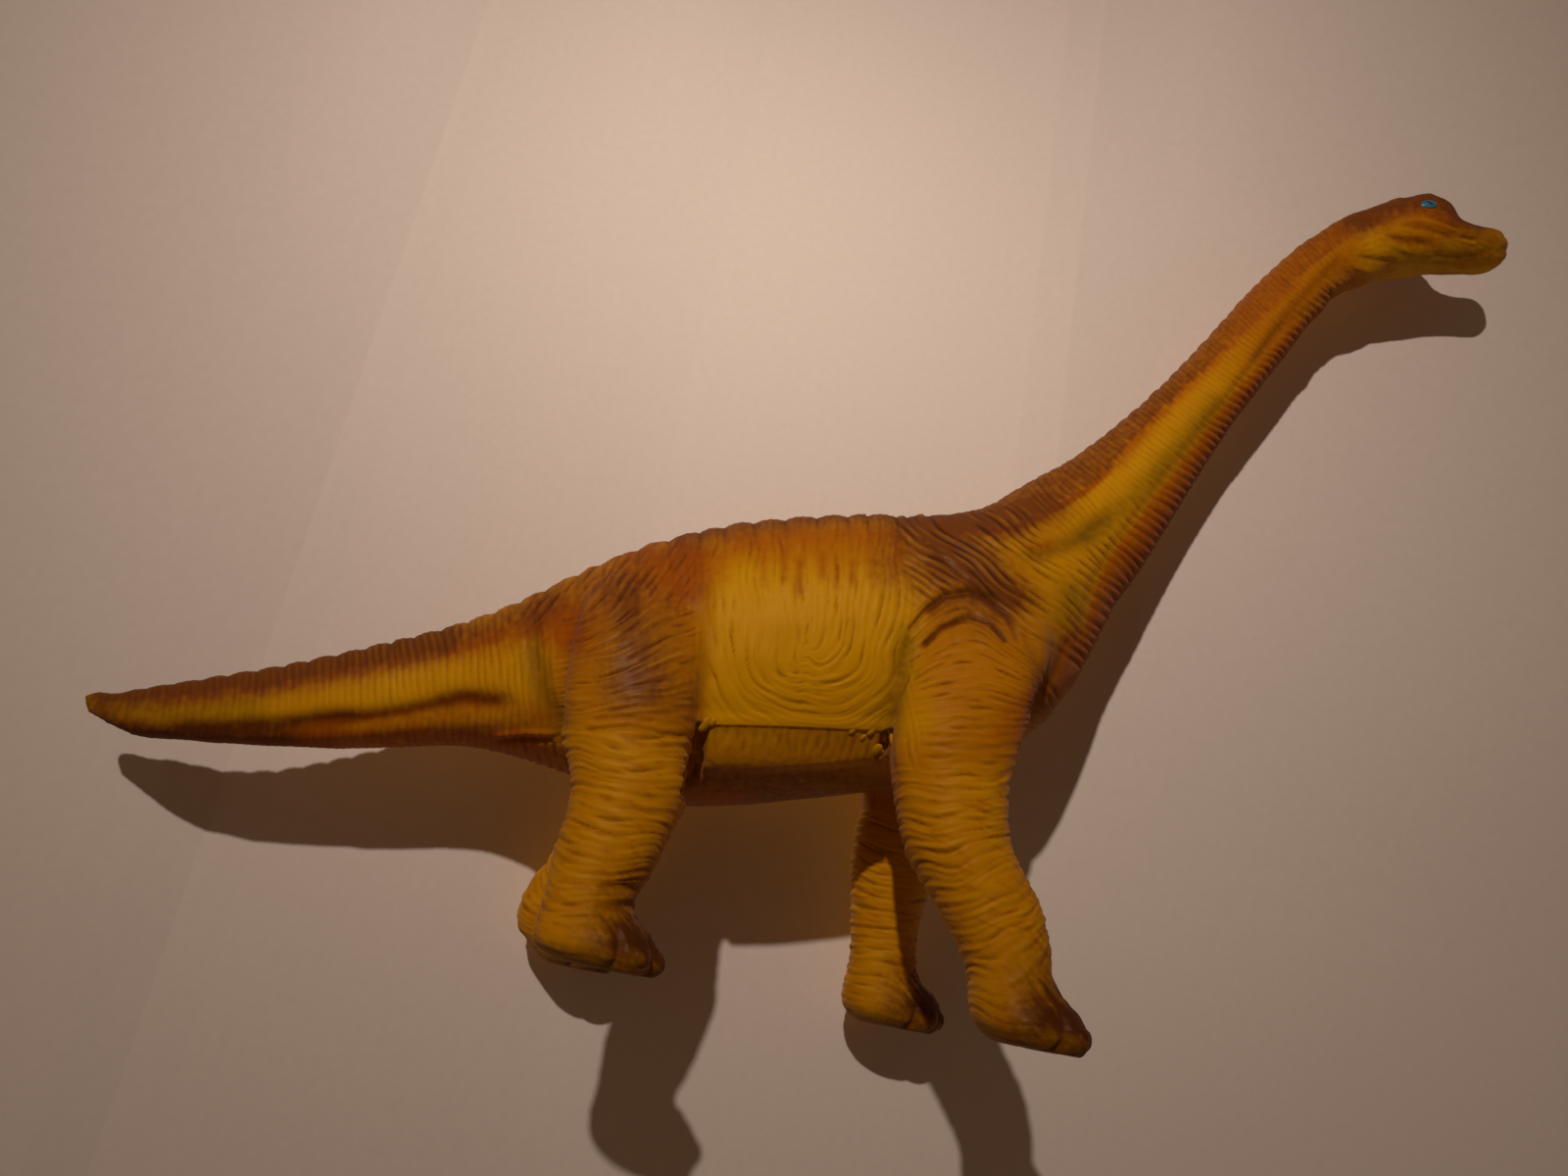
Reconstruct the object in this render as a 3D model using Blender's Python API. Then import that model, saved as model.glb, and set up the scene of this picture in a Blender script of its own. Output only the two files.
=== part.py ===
"""Long-necked toy dinosaur: a hollow vinyl body, a belly plate and four plugged-in legs.

The figure stands on its soles at z = 0 with its head towards +X and its right side
towards -Y. The origin is under the middle of its length, on the floor. All lengths
are in metres, and names that end in share or shares hold parts of a named size.
"""

import math

import bmesh
import bpy
import numpy as np
from mathutils import Vector

# The whole figure
FIGURE_LENGTH = 0.300
FIGURE_HEIGHT = 0.221

# The body moulding
TAIL_DEPTH = 0.0304
TAIL_WIDTH = 0.0270
TRUNK_DEPTH = 0.0610
TRUNK_WIDTH = 0.0580
NECK_DEPTH = 0.0180
NECK_WIDTH = 0.0166
HEAD_DEPTH = 0.0212
HEAD_WIDTH = 0.0192
WALL = 0.0028

# The legs
HIP_SPREAD = 0.0450
FOOT_SPREAD = 0.0520
HIND_LEG_DEPTH = 0.0248
HIND_LEG_WIDTH = 0.0220
FORE_LEG_DEPTH = 0.0233
FORE_LEG_WIDTH = 0.0210
THIGH_RISE = 0.0370
SHOULDER_RISE = 0.0440
THIGH_STUB = 0.0035
SHOULDER_STUB = 0.0095
PEG_RADIUS = 0.0045
PEG_LENGTH = 0.0120
PEG_CHAMFER = 0.0010
SOCKET_WALL = 0.0030

# The fits between the mouldings
GLUE_GAP = 0.0003
PEG_CLEARANCE = 0.0003
LIP_WALL = 0.0014
LIP_RISE = 0.0030
OVERRUN = 0.0060

# Rows of place along the length, height, half depth, half width and lean in degrees.
# Place and height are shares of the figure's length and height, half depth and half
# width are shares of that section's own depth and width.
TAIL_SHARES = (
    (-0.4965, 0.148, 0.079, 0.080, -20),
    (-0.4760, 0.145, 0.122, 0.125, -18),
    (-0.4540, 0.149, 0.174, 0.180, -18),
    (-0.3690, 0.177, 0.273, 0.275, -16),
    (-0.2975, 0.208, 0.362, 0.360, -12),
    (-0.2615, 0.226, 0.411, 0.410, -9),
    (-0.2300, 0.241, 0.500, 0.500, -5),
)
TRUNK_SHARES = (
    (-0.1925, 0.258, 0.328, 0.310, -3),
    (-0.1450, 0.275, 0.423, 0.405, -2),
    (-0.0845, 0.293, 0.493, 0.480, -1),
    (-0.0130, 0.319, 0.500, 0.500, 1),
    (0.0310, 0.334, 0.487, 0.490, 0),
    (0.0800, 0.357, 0.460, 0.450, -12),
    (0.1170, 0.397, 0.400, 0.375, -24),
)
NECK_SHARES = (
    (0.1400, 0.445, 1.140, 1.060, -31),
    (0.1580, 0.487, 0.950, 0.870, -35),
    (0.1790, 0.523, 0.840, 0.770, -36),
    (0.2210, 0.614, 0.650, 0.610, -34),
    (0.2575, 0.700, 0.550, 0.525, -32),
    (0.2950, 0.785, 0.515, 0.500, -33),
    (0.3320, 0.865, 0.440, 0.470, -33),
    (0.3520, 0.893, 0.430, 0.475, -26),
)
HEAD_SHARES = (
    (0.3730, 0.914, 0.425, 0.450, -14),
    (0.4000, 0.936, 0.460, 0.485, -5),
    (0.4150, 0.944, 0.486, 0.500, -1),
    (0.4310, 0.951, 0.490, 0.485, 1),
    (0.4420, 0.950, 0.430, 0.450, 1),
    (0.4500, 0.944, 0.340, 0.425, 1),
    (0.4590, 0.942, 0.290, 0.400, 1),
    (0.4750, 0.944, 0.270, 0.370, 1),
    (0.4870, 0.9485, 0.240, 0.330, 0),
    (0.4945, 0.951, 0.150, 0.230, 0),
)

# Places of the hips along the figure's length, and how far under the spine the
# parting plane lies there, as shares of the trunk's depth.
HIND_HIP_SHARE = -0.1295
FORE_HIP_SHARE = 0.0738
HIND_PARTING_SHARE = 0.292
FORE_PARTING_SHARE = 0.394

# Rows of height, forward place, half depth and half width. Height is a share of the
# leg's own height, the rest are shares of the leg's depth, depth and width.
LEG_SHARES = {
    "hind_leg_right": (
        (0.000, 0.245, 0.335, 0.370),
        (0.020, 0.205, 0.405, 0.425),
        (0.050, 0.160, 0.452, 0.455),
        (0.094, 0.130, 0.464, 0.460),
        (0.165, 0.093, 0.427, 0.425),
        (0.223, 0.032, 0.360, 0.385),
        (0.305, 0.008, 0.330, 0.375),
        (0.430, 0.044, 0.383, 0.400),
        (0.620, 0.097, 0.407, 0.435),
        (0.776, 0.113, 0.448, 0.465),
        (0.880, 0.060, 0.485, 0.485),
        (1.000, 0.000, 0.500, 0.500),
    ),
    "hind_leg_left": (
        (0.000, -0.190, 0.255, 0.330),
        (0.030, -0.218, 0.327, 0.400),
        (0.090, -0.258, 0.395, 0.445),
        (0.135, -0.312, 0.445, 0.455),
        (0.200, -0.357, 0.450, 0.430),
        (0.290, -0.420, 0.385, 0.390),
        (0.390, -0.415, 0.345, 0.380),
        (0.500, -0.290, 0.370, 0.405),
        (0.640, -0.150, 0.410, 0.435),
        (0.790, -0.055, 0.450, 0.465),
        (0.890, -0.020, 0.485, 0.485),
        (1.000, 0.000, 0.500, 0.500),
    ),
    "fore_leg_right": (
        (0.000, 0.880, 0.325, 0.370),
        (0.020, 0.865, 0.390, 0.425),
        (0.048, 0.835, 0.430, 0.455),
        (0.100, 0.798, 0.446, 0.460),
        (0.160, 0.742, 0.425, 0.425),
        (0.220, 0.665, 0.360, 0.385),
        (0.295, 0.600, 0.352, 0.375),
        (0.416, 0.502, 0.420, 0.400),
        (0.545, 0.360, 0.468, 0.430),
        (0.636, 0.232, 0.485, 0.445),
        (0.739, 0.114, 0.462, 0.465),
        (0.864, 0.050, 0.470, 0.485),
        (1.000, 0.000, 0.500, 0.500),
    ),
    "fore_leg_left": (
        (0.000, 0.130, 0.340, 0.370),
        (0.020, 0.122, 0.410, 0.425),
        (0.048, 0.110, 0.455, 0.455),
        (0.094, 0.084, 0.472, 0.460),
        (0.160, 0.060, 0.455, 0.425),
        (0.210, -0.009, 0.373, 0.385),
        (0.307, -0.054, 0.324, 0.365),
        (0.500, -0.086, 0.343, 0.380),
        (0.660, -0.090, 0.395, 0.420),
        (0.840, -0.060, 0.455, 0.470),
        (1.000, 0.000, 0.500, 0.500),
    ),
}

# Rows of rise over the joint, forward place, half depth, half width and sideways
# place, the last as a share of the hip spread. These bulges are part of the body.
THIGH_SHARES = (
    (0.00, 0.00, 0.500, 0.500, 0.500),
    (0.30, 0.00, 0.560, 0.500, 0.490),
    (0.60, 0.00, 0.590, 0.475, 0.435),
    (0.85, -0.03, 0.520, 0.385, 0.335),
    (1.00, -0.06, 0.380, 0.230, 0.245),
)
SHOULDER_SHARES = (
    (0.00, 0.00, 0.500, 0.500, 0.500),
    (0.20, 0.01, 0.550, 0.520, 0.500),
    (0.45, 0.07, 0.620, 0.520, 0.465),
    (0.70, 0.18, 0.600, 0.490, 0.390),
    (0.87, 0.27, 0.500, 0.390, 0.310),
    (1.00, 0.33, 0.340, 0.230, 0.225),
)

# Shape of a section and of the blunt ends
SECTION_POWER = 2.25
END_REACH_SHARE = 0.40
END_TURN_DEG = 75
HOLLOW_END_SHARE = 0.70
BLOCK_MARGIN_SHARE = 0.16
PLATE_REAR_SHARE = -0.2085
PLATE_FRONT_SHARE = 0.1050

# Numbers of facets
BODY_SIDES = 32
HOLLOW_SIDES = 24
LEG_SIDES = 20
PEG_SIDES = 20
RINGS_PER_SPAN = 2
END_RINGS = 2

# Finishes: colour, roughness
YELLOW_VINYL = ((0.52, 0.30, 0.03), 0.42)
BELLY_VINYL = ((0.33, 0.16, 0.02), 0.38)
LEG_VINYL = ((0.47, 0.26, 0.025), 0.42)


def clear_scene():
    """Removes every object that the scene starts with."""
    for old in list(bpy.data.objects):
        bpy.data.objects.remove(old, do_unlink=True)


def vinyl(name, finish):
    """A plain vinyl material from its colour and roughness."""
    colour, roughness = finish
    material = bpy.data.materials.new(name)
    material.use_nodes = True
    shader = material.node_tree.nodes["Principled BSDF"]
    shader.inputs["Base Color"].default_value = (*colour, 1.0)
    shader.inputs["Roughness"].default_value = roughness
    shader.inputs["Metallic"].default_value = 0.0
    return material


def smooth_rows(rows, per_span):
    """Rows between the given ones on a curve that passes through each of them."""
    given = np.array(rows, float)
    padded = np.vstack([2 * given[0] - given[1], given, 2 * given[-1] - given[-2]])
    made = []
    for span in range(len(given) - 1):
        before, start, end, after = padded[span : span + 4]
        for step in range(per_span):
            t = step / per_span
            made.append(
                0.5
                * (
                    2 * start
                    + (end - before) * t
                    + (2 * before - 5 * start + 4 * end - after) * t**2
                    + (3 * start - before - 3 * end + after) * t**3
                )
            )
    made.append(given[-1])
    return np.array(made)


def section(sides, half_up, half_side):
    """Points round a full-bodied oval, as (up, side) pairs."""
    points = []
    for step in range(sides):
        angle = 2 * math.pi * step / sides
        up = math.copysign(abs(math.cos(angle)) ** (2 / SECTION_POWER), math.cos(angle))
        side = math.copysign(abs(math.sin(angle)) ** (2 / SECTION_POWER), math.sin(angle))
        points.append((up * half_up, side * half_side))
    return points


def loft(name, rings):
    """A closed skin over the rings, which all have the same number of points."""
    shape = bmesh.new()
    loops = [[shape.verts.new(point) for point in ring] for ring in rings]
    sides = len(loops[0])
    for low, high in zip(loops, loops[1:]):
        for step in range(sides):
            after = (step + 1) % sides
            shape.faces.new((low[step], low[after], high[after], high[step]))
    shape.faces.new(loops[0])
    shape.faces.new(loops[-1])
    bmesh.ops.recalc_face_normals(shape, faces=shape.faces)
    return placed(name, shape)


def placed(name, shape):
    """An object in the scene that holds the bmesh's shape."""
    mesh = bpy.data.meshes.new(name)
    shape.to_mesh(mesh)
    shape.free()
    mesh.shade_smooth()
    made = bpy.data.objects.new(name, mesh)
    bpy.context.scene.collection.objects.link(made)
    return made


def as_tool(made):
    """Marks an object as a helper that only cuts or joins."""
    made.hide_render = True
    made.display_type = "WIRE"
    return made


def combine(target, tool, operation):
    """Joins, cuts or crosses the target with the tool."""
    modifier = target.modifiers.new(f"{operation.lower()} {tool.name}", "BOOLEAN")
    modifier.operation = operation
    modifier.object = tool
    modifier.solver = "EXACT"


def sized_rows():
    """The body's rows in metres: x, z, half depth, half width and lean."""
    sections = (
        (TAIL_SHARES, TAIL_DEPTH, TAIL_WIDTH),
        (TRUNK_SHARES, TRUNK_DEPTH, TRUNK_WIDTH),
        (NECK_SHARES, NECK_DEPTH, NECK_WIDTH),
        (HEAD_SHARES, HEAD_DEPTH, HEAD_WIDTH),
    )
    rows = []
    for shares, depth, width in sections:
        for along, up, half_depth, half_width, lean in shares:
            rows.append(
                (
                    along * FIGURE_LENGTH,
                    up * FIGURE_HEIGHT,
                    half_depth * depth,
                    half_width * width,
                    math.radians(lean),
                )
            )
    return smooth_rows(rows, RINGS_PER_SPAN)


def body_ring(row, sides, inset, size=1.0, shift=0.0):
    """One leaning section of the body, drawn in by the inset and moved along by the shift."""
    along, height, half_depth, half_width, lean = map(float, row)
    up = Vector((math.sin(lean), 0, math.cos(lean)))
    forward = Vector((math.cos(lean), 0, -math.sin(lean)))
    centre = Vector((along, 0, height)) + shift * forward
    oval = section(sides, (half_depth - inset) * size, (half_width - inset) * size)
    return [centre + rise * up + Vector((0, aside, 0)) for rise, aside in oval]


def blunt_end(row, outwards):
    """Rings that close the tail's tip or the snout with a rounded end."""
    reach = float(row[2]) * END_REACH_SHARE
    rings = []
    for step in range(1, END_RINGS + 1):
        angle = math.radians(END_TURN_DEG) * step / END_RINGS
        shift = outwards * reach * math.sin(angle)
        rings.append(body_ring(row, BODY_SIDES, 0, math.cos(angle), shift))
    return rings


def body_loft(name, rows):
    """The closed outer form from the tail's tip to the snout."""
    rings = blunt_end(rows[0], -1)[::-1]
    rings += [body_ring(row, BODY_SIDES, 0) for row in rows]
    rings += blunt_end(rows[-1], 1)
    return loft(name, rings)


def hollow_loft(name, rows, inset, start, end):
    """The trunk's space inside, whose first and last rings are drawn in."""
    inner = [row for row in rows if start <= row[0] <= end]
    sizes = [HOLLOW_END_SHARE] + [1.0] * (len(inner) - 2) + [HOLLOW_END_SHARE]
    rings = [body_ring(row, HOLLOW_SIDES, inset, size) for row, size in zip(inner, sizes)]
    return as_tool(loft(name, rings))


class PartingPlane:
    """The sloping plane where the belly plate and the legs meet the body."""

    def __init__(self, rows):
        self.hind_x = HIND_HIP_SHARE * FIGURE_LENGTH
        self.fore_x = FORE_HIP_SHARE * FIGURE_LENGTH
        spine = rows[:, 0], rows[:, 1]
        hind_z = np.interp(self.hind_x, *spine) - HIND_PARTING_SHARE * TRUNK_DEPTH
        fore_z = np.interp(self.fore_x, *spine) - FORE_PARTING_SHARE * TRUNK_DEPTH
        self.slope = math.atan2(fore_z - hind_z, self.fore_x - self.hind_x)
        self.origin = Vector((0, 0, hind_z - self.hind_x * math.tan(self.slope)))

    def height(self, along):
        """How high the plane is at this x."""
        return self.origin.z + along * math.tan(self.slope)

    def local(self, along):
        """Distance along the plane from its origin to the point over this x."""
        return along / math.cos(self.slope)

    def place(self, made):
        """Turns and moves an object from the plane's own directions into the figure's."""
        made.location = self.origin
        made.rotation_euler = (0, -self.slope, 0)
        return made


def prism(name, outline, low, high):
    """An upright block over an outline of (x, y) points."""
    rings = [[(x, y, z) for x, y in outline] for z in (low, high)]
    return loft(name, rings)


def block_outline(start, end, half_width):
    """A rectangle of (x, y) points, the same on both sides."""
    return (
        (start, -half_width),
        (end, -half_width),
        (end, half_width),
        (start, half_width),
    )


def mirrored(right_side):
    """The whole outline from its right half, which runs forwards."""
    return tuple(right_side) + tuple((x, -y) for x, y in reversed(right_side))


class BellyOpening:
    """Places along and across the parting plane that bound the opening and the plate."""

    def __init__(self, plane):
        self.rear = plane.local(PLATE_REAR_SHARE * FIGURE_LENGTH)
        self.front = plane.local(PLATE_FRONT_SHARE * FIGURE_LENGTH)
        self.hind_face = plane.local(plane.hind_x) + HIND_LEG_DEPTH / 2 + 2 * GLUE_GAP
        self.fore_face = plane.local(plane.fore_x) - FORE_LEG_DEPTH / 2 - 2 * GLUE_GAP
        self.narrow = HIP_SPREAD / 2 - HIND_LEG_WIDTH / 2
        self.broad = TRUNK_WIDTH / 2 + OVERRUN

    def outline(self, gap):
        """Broad between the legs and narrow beside them, drawn in by the gap."""
        narrow = self.narrow - gap
        return mirrored(
            (
                (self.rear + gap, -narrow),
                (self.hind_face + gap, -narrow),
                (self.hind_face + gap, -self.broad),
                (self.fore_face - gap, -self.broad),
                (self.fore_face - gap, -narrow),
                (self.front - gap, -narrow),
            )
        )


def leg_ring(x, y, z, half_depth, half_width):
    """One level section of a leg."""
    oval = section(LEG_SIDES, half_depth, half_width)
    return [(x + ahead, y + aside, z) for ahead, aside in oval]


class Leg:
    """One leg: where it joins the body, which side it is on, and its own sizes."""

    def __init__(self, name, plane):
        self.name = name
        self.plane = plane
        self.side = -1 if name.endswith("right") else 1
        self.hind = name.startswith("hind")
        self.hip_x = plane.hind_x if self.hind else plane.fore_x
        self.hip_y = self.side * HIP_SPREAD / 2
        self.foot_y = self.side * FOOT_SPREAD / 2
        self.depth = HIND_LEG_DEPTH if self.hind else FORE_LEG_DEPTH
        self.width = HIND_LEG_WIDTH if self.hind else FORE_LEG_WIDTH
        self.drop = THIGH_STUB if self.hind else SHOULDER_STUB
        self.height = plane.height(self.hip_x) - self.drop

    def limb(self):
        """The leg from its sole to past the joint, where it is cut afterwards."""
        rings = []
        for up, ahead, half_depth, half_width in smooth_rows(
            LEG_SHARES[self.name], RINGS_PER_SPAN
        ):
            y = self.foot_y + (self.hip_y - self.foot_y) * up
            x = self.hip_x + ahead * self.depth
            z = up * self.height
            rings.append(leg_ring(x, y, z, half_depth * self.depth, half_width * self.width))
        rings.append(self.joint_ring(OVERRUN))
        return loft(self.name, rings)

    def joint_ring(self, rise):
        """The leg's section at the joint, this much over it."""
        z = self.height + rise
        return leg_ring(self.hip_x, self.hip_y, z, self.depth / 2, self.width / 2)

    def bulge(self):
        """The thigh or shoulder that belongs to the body."""
        rise = THIGH_RISE if self.hind else SHOULDER_RISE
        shares = THIGH_SHARES if self.hind else SHOULDER_SHARES
        rings = [self.joint_ring(-OVERRUN)]
        for up, ahead, half_depth, half_width, aside in smooth_rows(shares, RINGS_PER_SPAN):
            x = self.hip_x + ahead * self.depth
            y = self.side * aside * HIP_SPREAD
            z = self.height + up * rise
            rings.append(leg_ring(x, y, z, half_depth * self.depth, half_width * self.width))
        return as_tool(loft(f"bulge_{self.name}", rings))

    def joint_block(self, name, low, high):
        """A broad block over the joint, in the parting plane's own directions."""
        centre = self.plane.local(self.hip_x)
        reach = self.depth / 2 + OVERRUN
        inner = (self.hip_y - self.side * self.width / 2) / 2
        outer = self.side * (TRUNK_WIDTH / 2 + self.width)
        outline = (
            (centre - reach, inner),
            (centre + reach, inner),
            (centre + reach, outer),
            (centre - reach, outer),
        )
        return as_tool(self.plane.place(prism(name, outline, low, high)))

    def socket_block(self):
        """What stays solid round the socket when the trunk is hollowed."""
        margin = BLOCK_MARGIN_SHARE * self.depth
        centre = self.plane.local(self.hip_x)
        reach = self.depth / 2 + margin
        inner = self.hip_y - self.side * (self.width / 2 + margin / 2)
        outer = self.side * (TRUNK_WIDTH / 2 + self.width)
        outline = (
            (centre - reach, inner),
            (centre + reach, inner),
            (centre + reach, outer),
            (centre - reach, outer),
        )
        top = PEG_LENGTH - self.drop + SOCKET_WALL
        block = prism(f"socket_block_{self.name}", outline, -self.drop - OVERRUN, top)
        return as_tool(self.plane.place(block))

    def round_pin(self, name, radius, low, high, chamfer):
        """A round pin square to the parting plane, its top edge chamfered."""
        x = self.plane.local(self.hip_x)
        rings = []
        for z, reach in ((low, radius), (high - chamfer, radius), (high, radius - chamfer)):
            rings.append(
                [
                    (x + reach * math.cos(turn), self.hip_y + reach * math.sin(turn), z)
                    for turn in np.linspace(0, 2 * math.pi, PEG_SIDES, endpoint=False)
                ]
            )
        return as_tool(self.plane.place(loft(name, rings)))

    def peg(self):
        """The pin on top of the leg."""
        low = -self.drop - OVERRUN
        high = PEG_LENGTH - self.drop
        return self.round_pin(f"peg_{self.name}", PEG_RADIUS, low, high, PEG_CHAMFER)

    def socket(self):
        """The hole in the body that the pin goes into, with its clearance."""
        low = -self.drop - OVERRUN
        high = PEG_LENGTH - self.drop + PEG_CLEARANCE
        radius = PEG_RADIUS + PEG_CLEARANCE
        return self.round_pin(f"socket_{self.name}", radius, low, high, PEG_CHAMFER)


def far_below(plane):
    """A depth that reaches past the soles from anywhere on the parting plane."""
    return -(plane.height(FIGURE_LENGTH / 2))


def make_body(rows, plane, legs):
    """The hollow moulding: head, neck, trunk and tail, open under the belly."""
    shell = body_loft("body_shell", rows)
    for leg in legs:
        combine(shell, leg.bulge(), "UNION")
    start = plane.hind_x - HIND_LEG_DEPTH / 2 - WALL
    end = plane.fore_x + FORE_LEG_DEPTH / 2 - WALL
    hollow = hollow_loft("trunk_hollow", rows, WALL, start, end)
    for leg in legs:
        combine(hollow, leg.socket_block(), "DIFFERENCE")
    combine(shell, hollow, "DIFFERENCE")
    low = far_below(plane)
    opening = prism("belly_cut", BellyOpening(plane).outline(0), low, 0)
    combine(shell, as_tool(plane.place(opening)), "DIFFERENCE")
    for leg in legs:
        cut = leg.joint_block(f"joint_cut_{leg.name}", low, -leg.drop)
        combine(shell, cut, "DIFFERENCE")
        combine(shell, leg.socket(), "DIFFERENCE")
    return shell


def make_belly_plate(rows, plane):
    """The dished plate glued into the opening, with a lip inside each flank."""
    plate = body_loft("belly_plate", rows)
    low = far_below(plane)
    outline = BellyOpening(plane).outline(GLUE_GAP)
    block = as_tool(plane.place(prism("plate_block", outline, low, -GLUE_GAP)))
    combine(plate, block, "INTERSECT")
    start = PLATE_REAR_SHARE * FIGURE_LENGTH + WALL
    end = PLATE_FRONT_SHARE * FIGURE_LENGTH - WALL
    combine(plate, make_lip(rows, plane, start, end), "UNION")
    dish = hollow_loft("plate_hollow", rows, WALL + LIP_WALL, start, end)
    combine(plate, dish, "DIFFERENCE")
    return plate


def make_lip(rows, plane, start, end):
    """The lip before the dish is cut: it stands up inside the opening's flanks."""
    hind_margin = HIND_LEG_DEPTH * (0.5 + BLOCK_MARGIN_SHARE) + GLUE_GAP
    fore_margin = FORE_LEG_DEPTH * (0.5 + BLOCK_MARGIN_SHARE) + GLUE_GAP
    outline = block_outline(
        plane.local(plane.hind_x) + hind_margin,
        plane.local(plane.fore_x) - fore_margin,
        TRUNK_WIDTH / 2,
    )
    lip = hollow_loft("plate_lip", rows, WALL + GLUE_GAP, start, end)
    block = as_tool(plane.place(prism("lip_block", outline, -LIP_RISE, LIP_RISE)))
    combine(lip, block, "INTERSECT")
    return lip


def make_leg(leg):
    """One leg, cut flat at its joint, with the peg that goes into the body."""
    limb = leg.limb()
    top = FIGURE_HEIGHT
    cut = leg.joint_block(f"leg_trim_{leg.name}", -leg.drop - GLUE_GAP, top)
    combine(limb, cut, "DIFFERENCE")
    combine(limb, leg.peg(), "UNION")
    return limb


def main():
    """Builds the six mouldings in place."""
    clear_scene()
    rows = sized_rows()
    plane = PartingPlane(rows)
    legs = [Leg(name, plane) for name in LEG_SHARES]
    shell = make_body(rows, plane, legs)
    shell.data.materials.append(vinyl("yellow_vinyl", YELLOW_VINYL))
    plate = make_belly_plate(rows, plane)
    plate.data.materials.append(vinyl("belly_vinyl", BELLY_VINYL))
    for leg in legs:
        made = make_leg(leg)
        made.data.materials.append(vinyl(f"vinyl_{leg.name}", LEG_VINYL))


main()
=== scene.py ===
"""Looks of a long-necked toy dinosaur figure cast in soft vinyl.

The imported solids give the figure's smooth form. A joined copy of them becomes one skin, which is
sculpted with folds, ribs and toes and sprayed with paint masks. It is then cut into the mouldings
that the real figure has: a body shell, a belly plate and four legs.
"""

import logging
import math
from collections.abc import Iterable
from dataclasses import dataclass, replace
from enum import Enum
from typing import ClassVar

import bmesh
import bpy
import numpy as np
from mathutils import Matrix, Vector
from mathutils.kdtree import KDTree


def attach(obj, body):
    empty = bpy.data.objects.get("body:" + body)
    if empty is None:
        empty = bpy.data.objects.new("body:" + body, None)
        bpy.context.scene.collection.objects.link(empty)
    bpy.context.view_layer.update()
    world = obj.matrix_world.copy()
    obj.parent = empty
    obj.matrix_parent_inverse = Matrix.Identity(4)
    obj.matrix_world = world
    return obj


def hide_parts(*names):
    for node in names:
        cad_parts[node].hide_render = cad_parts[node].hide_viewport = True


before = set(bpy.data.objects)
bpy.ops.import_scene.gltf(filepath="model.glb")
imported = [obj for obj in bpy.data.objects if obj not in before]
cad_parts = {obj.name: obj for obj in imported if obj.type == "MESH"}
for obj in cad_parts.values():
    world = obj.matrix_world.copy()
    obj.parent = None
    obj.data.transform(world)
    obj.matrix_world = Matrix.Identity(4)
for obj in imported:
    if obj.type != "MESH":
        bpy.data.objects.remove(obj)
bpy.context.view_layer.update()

log = logging.getLogger("toy_dinosaur")

MM = 0.001
Path = tuple[tuple[float, float], ...]


def smoothstep(value: np.ndarray, low: float, high: float) -> np.ndarray:
    """Eases from 0 at low to 1 at high.

    Args:
        value: Numbers to ease.
        low: Where the result leaves 0.
        high: Where the result reaches 1. It may be below low.

    Returns:
        An array of the same shape, from 0 to 1.
    """
    t = np.clip((value - low) / (high - low), 0, 1)
    return t * t * (3 - 2 * t)


def blend(first: np.ndarray, second: np.ndarray, share: np.ndarray) -> np.ndarray:
    """Mixes first with second, by share from 0 to 1."""
    return first + (second - first) * share


def between(value: np.ndarray, low: float, high: float, soft: float) -> np.ndarray:
    """1 from low to high and 0 beyond, with ends that ease over twice soft."""
    return smoothstep(value, low - soft, low + soft) * smoothstep(value, high + soft, high - soft)


def bell(value: np.ndarray, width: float) -> np.ndarray:
    """1 where the value is 0, fading to a third at width."""
    return np.exp(-((value / width) ** 2))


class GradientNoise:
    """Smooth noise from a hashed lattice of slopes, the same on each run.

    Attributes:
        cells: Steps after which the lattice repeats, a power of two.
        gain: Factor that brings the values near -1 and 1.
    """

    cells: ClassVar[int] = 256
    gain: ClassVar[float] = 1.6

    def __init__(self, seed: int) -> None:
        """Draws the lattice.

        Args:
            seed: Picks one lattice out of many.
        """
        drawn = np.random.default_rng(seed)
        order = drawn.permutation(self.cells).astype(np.int32)
        self._order = np.concatenate([order, order, order[:2]])
        slopes = drawn.normal(size=(self.cells, 3))
        slopes /= np.linalg.norm(slopes, axis=1)[:, None]
        self._slopes = slopes.astype(np.float32)

    def at(self, x: np.ndarray, y: np.ndarray, z: np.ndarray) -> np.ndarray:
        """Reads the noise.

        Args:
            x: First coordinate, in lattice steps.
            y: Second coordinate.
            z: Third coordinate.

        Returns:
            Values from about -1 to 1, with 0 as their middle.
        """
        last = self.cells - 1
        floors = [np.floor(c) for c in (x, y, z)]
        parts = [(c - f).astype(np.float32) for c, f in zip((x, y, z), floors)]
        i, j, k = (f.astype(np.int32) & last for f in floors)
        eased = [p * p * p * (p * (p * 6 - 15) + 10) for p in parts]
        total = np.zeros(parts[0].shape, np.float32)
        for di in (0, 1):
            row = self._order[i + di]
            wx = eased[0] if di else 1 - eased[0]
            for dj in (0, 1):
                column = self._order[(row + j + dj) & last]
                wy = wx * (eased[1] if dj else 1 - eased[1])
                for dk in (0, 1):
                    slope = self._slopes[self._order[(column + k + dk) & last]]
                    reach = (slope[:, 0] * (parts[0] - di) + slope[:, 1] * (parts[1] - dj)
                             + slope[:, 2] * (parts[2] - dk))
                    total += wy * (eased[2] if dk else 1 - eased[2]) * reach
        return total * self.gain


@dataclass(frozen=True)
class Along:
    """Where points lie by a path.

    Attributes:
        distance: Distance to the path.
        side: The same, above 0 to the left of the path and below 0 to its right.
        run: Length run from the path's start, which goes on past its two ends.
    """

    distance: np.ndarray
    side: np.ndarray
    run: np.ndarray


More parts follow.
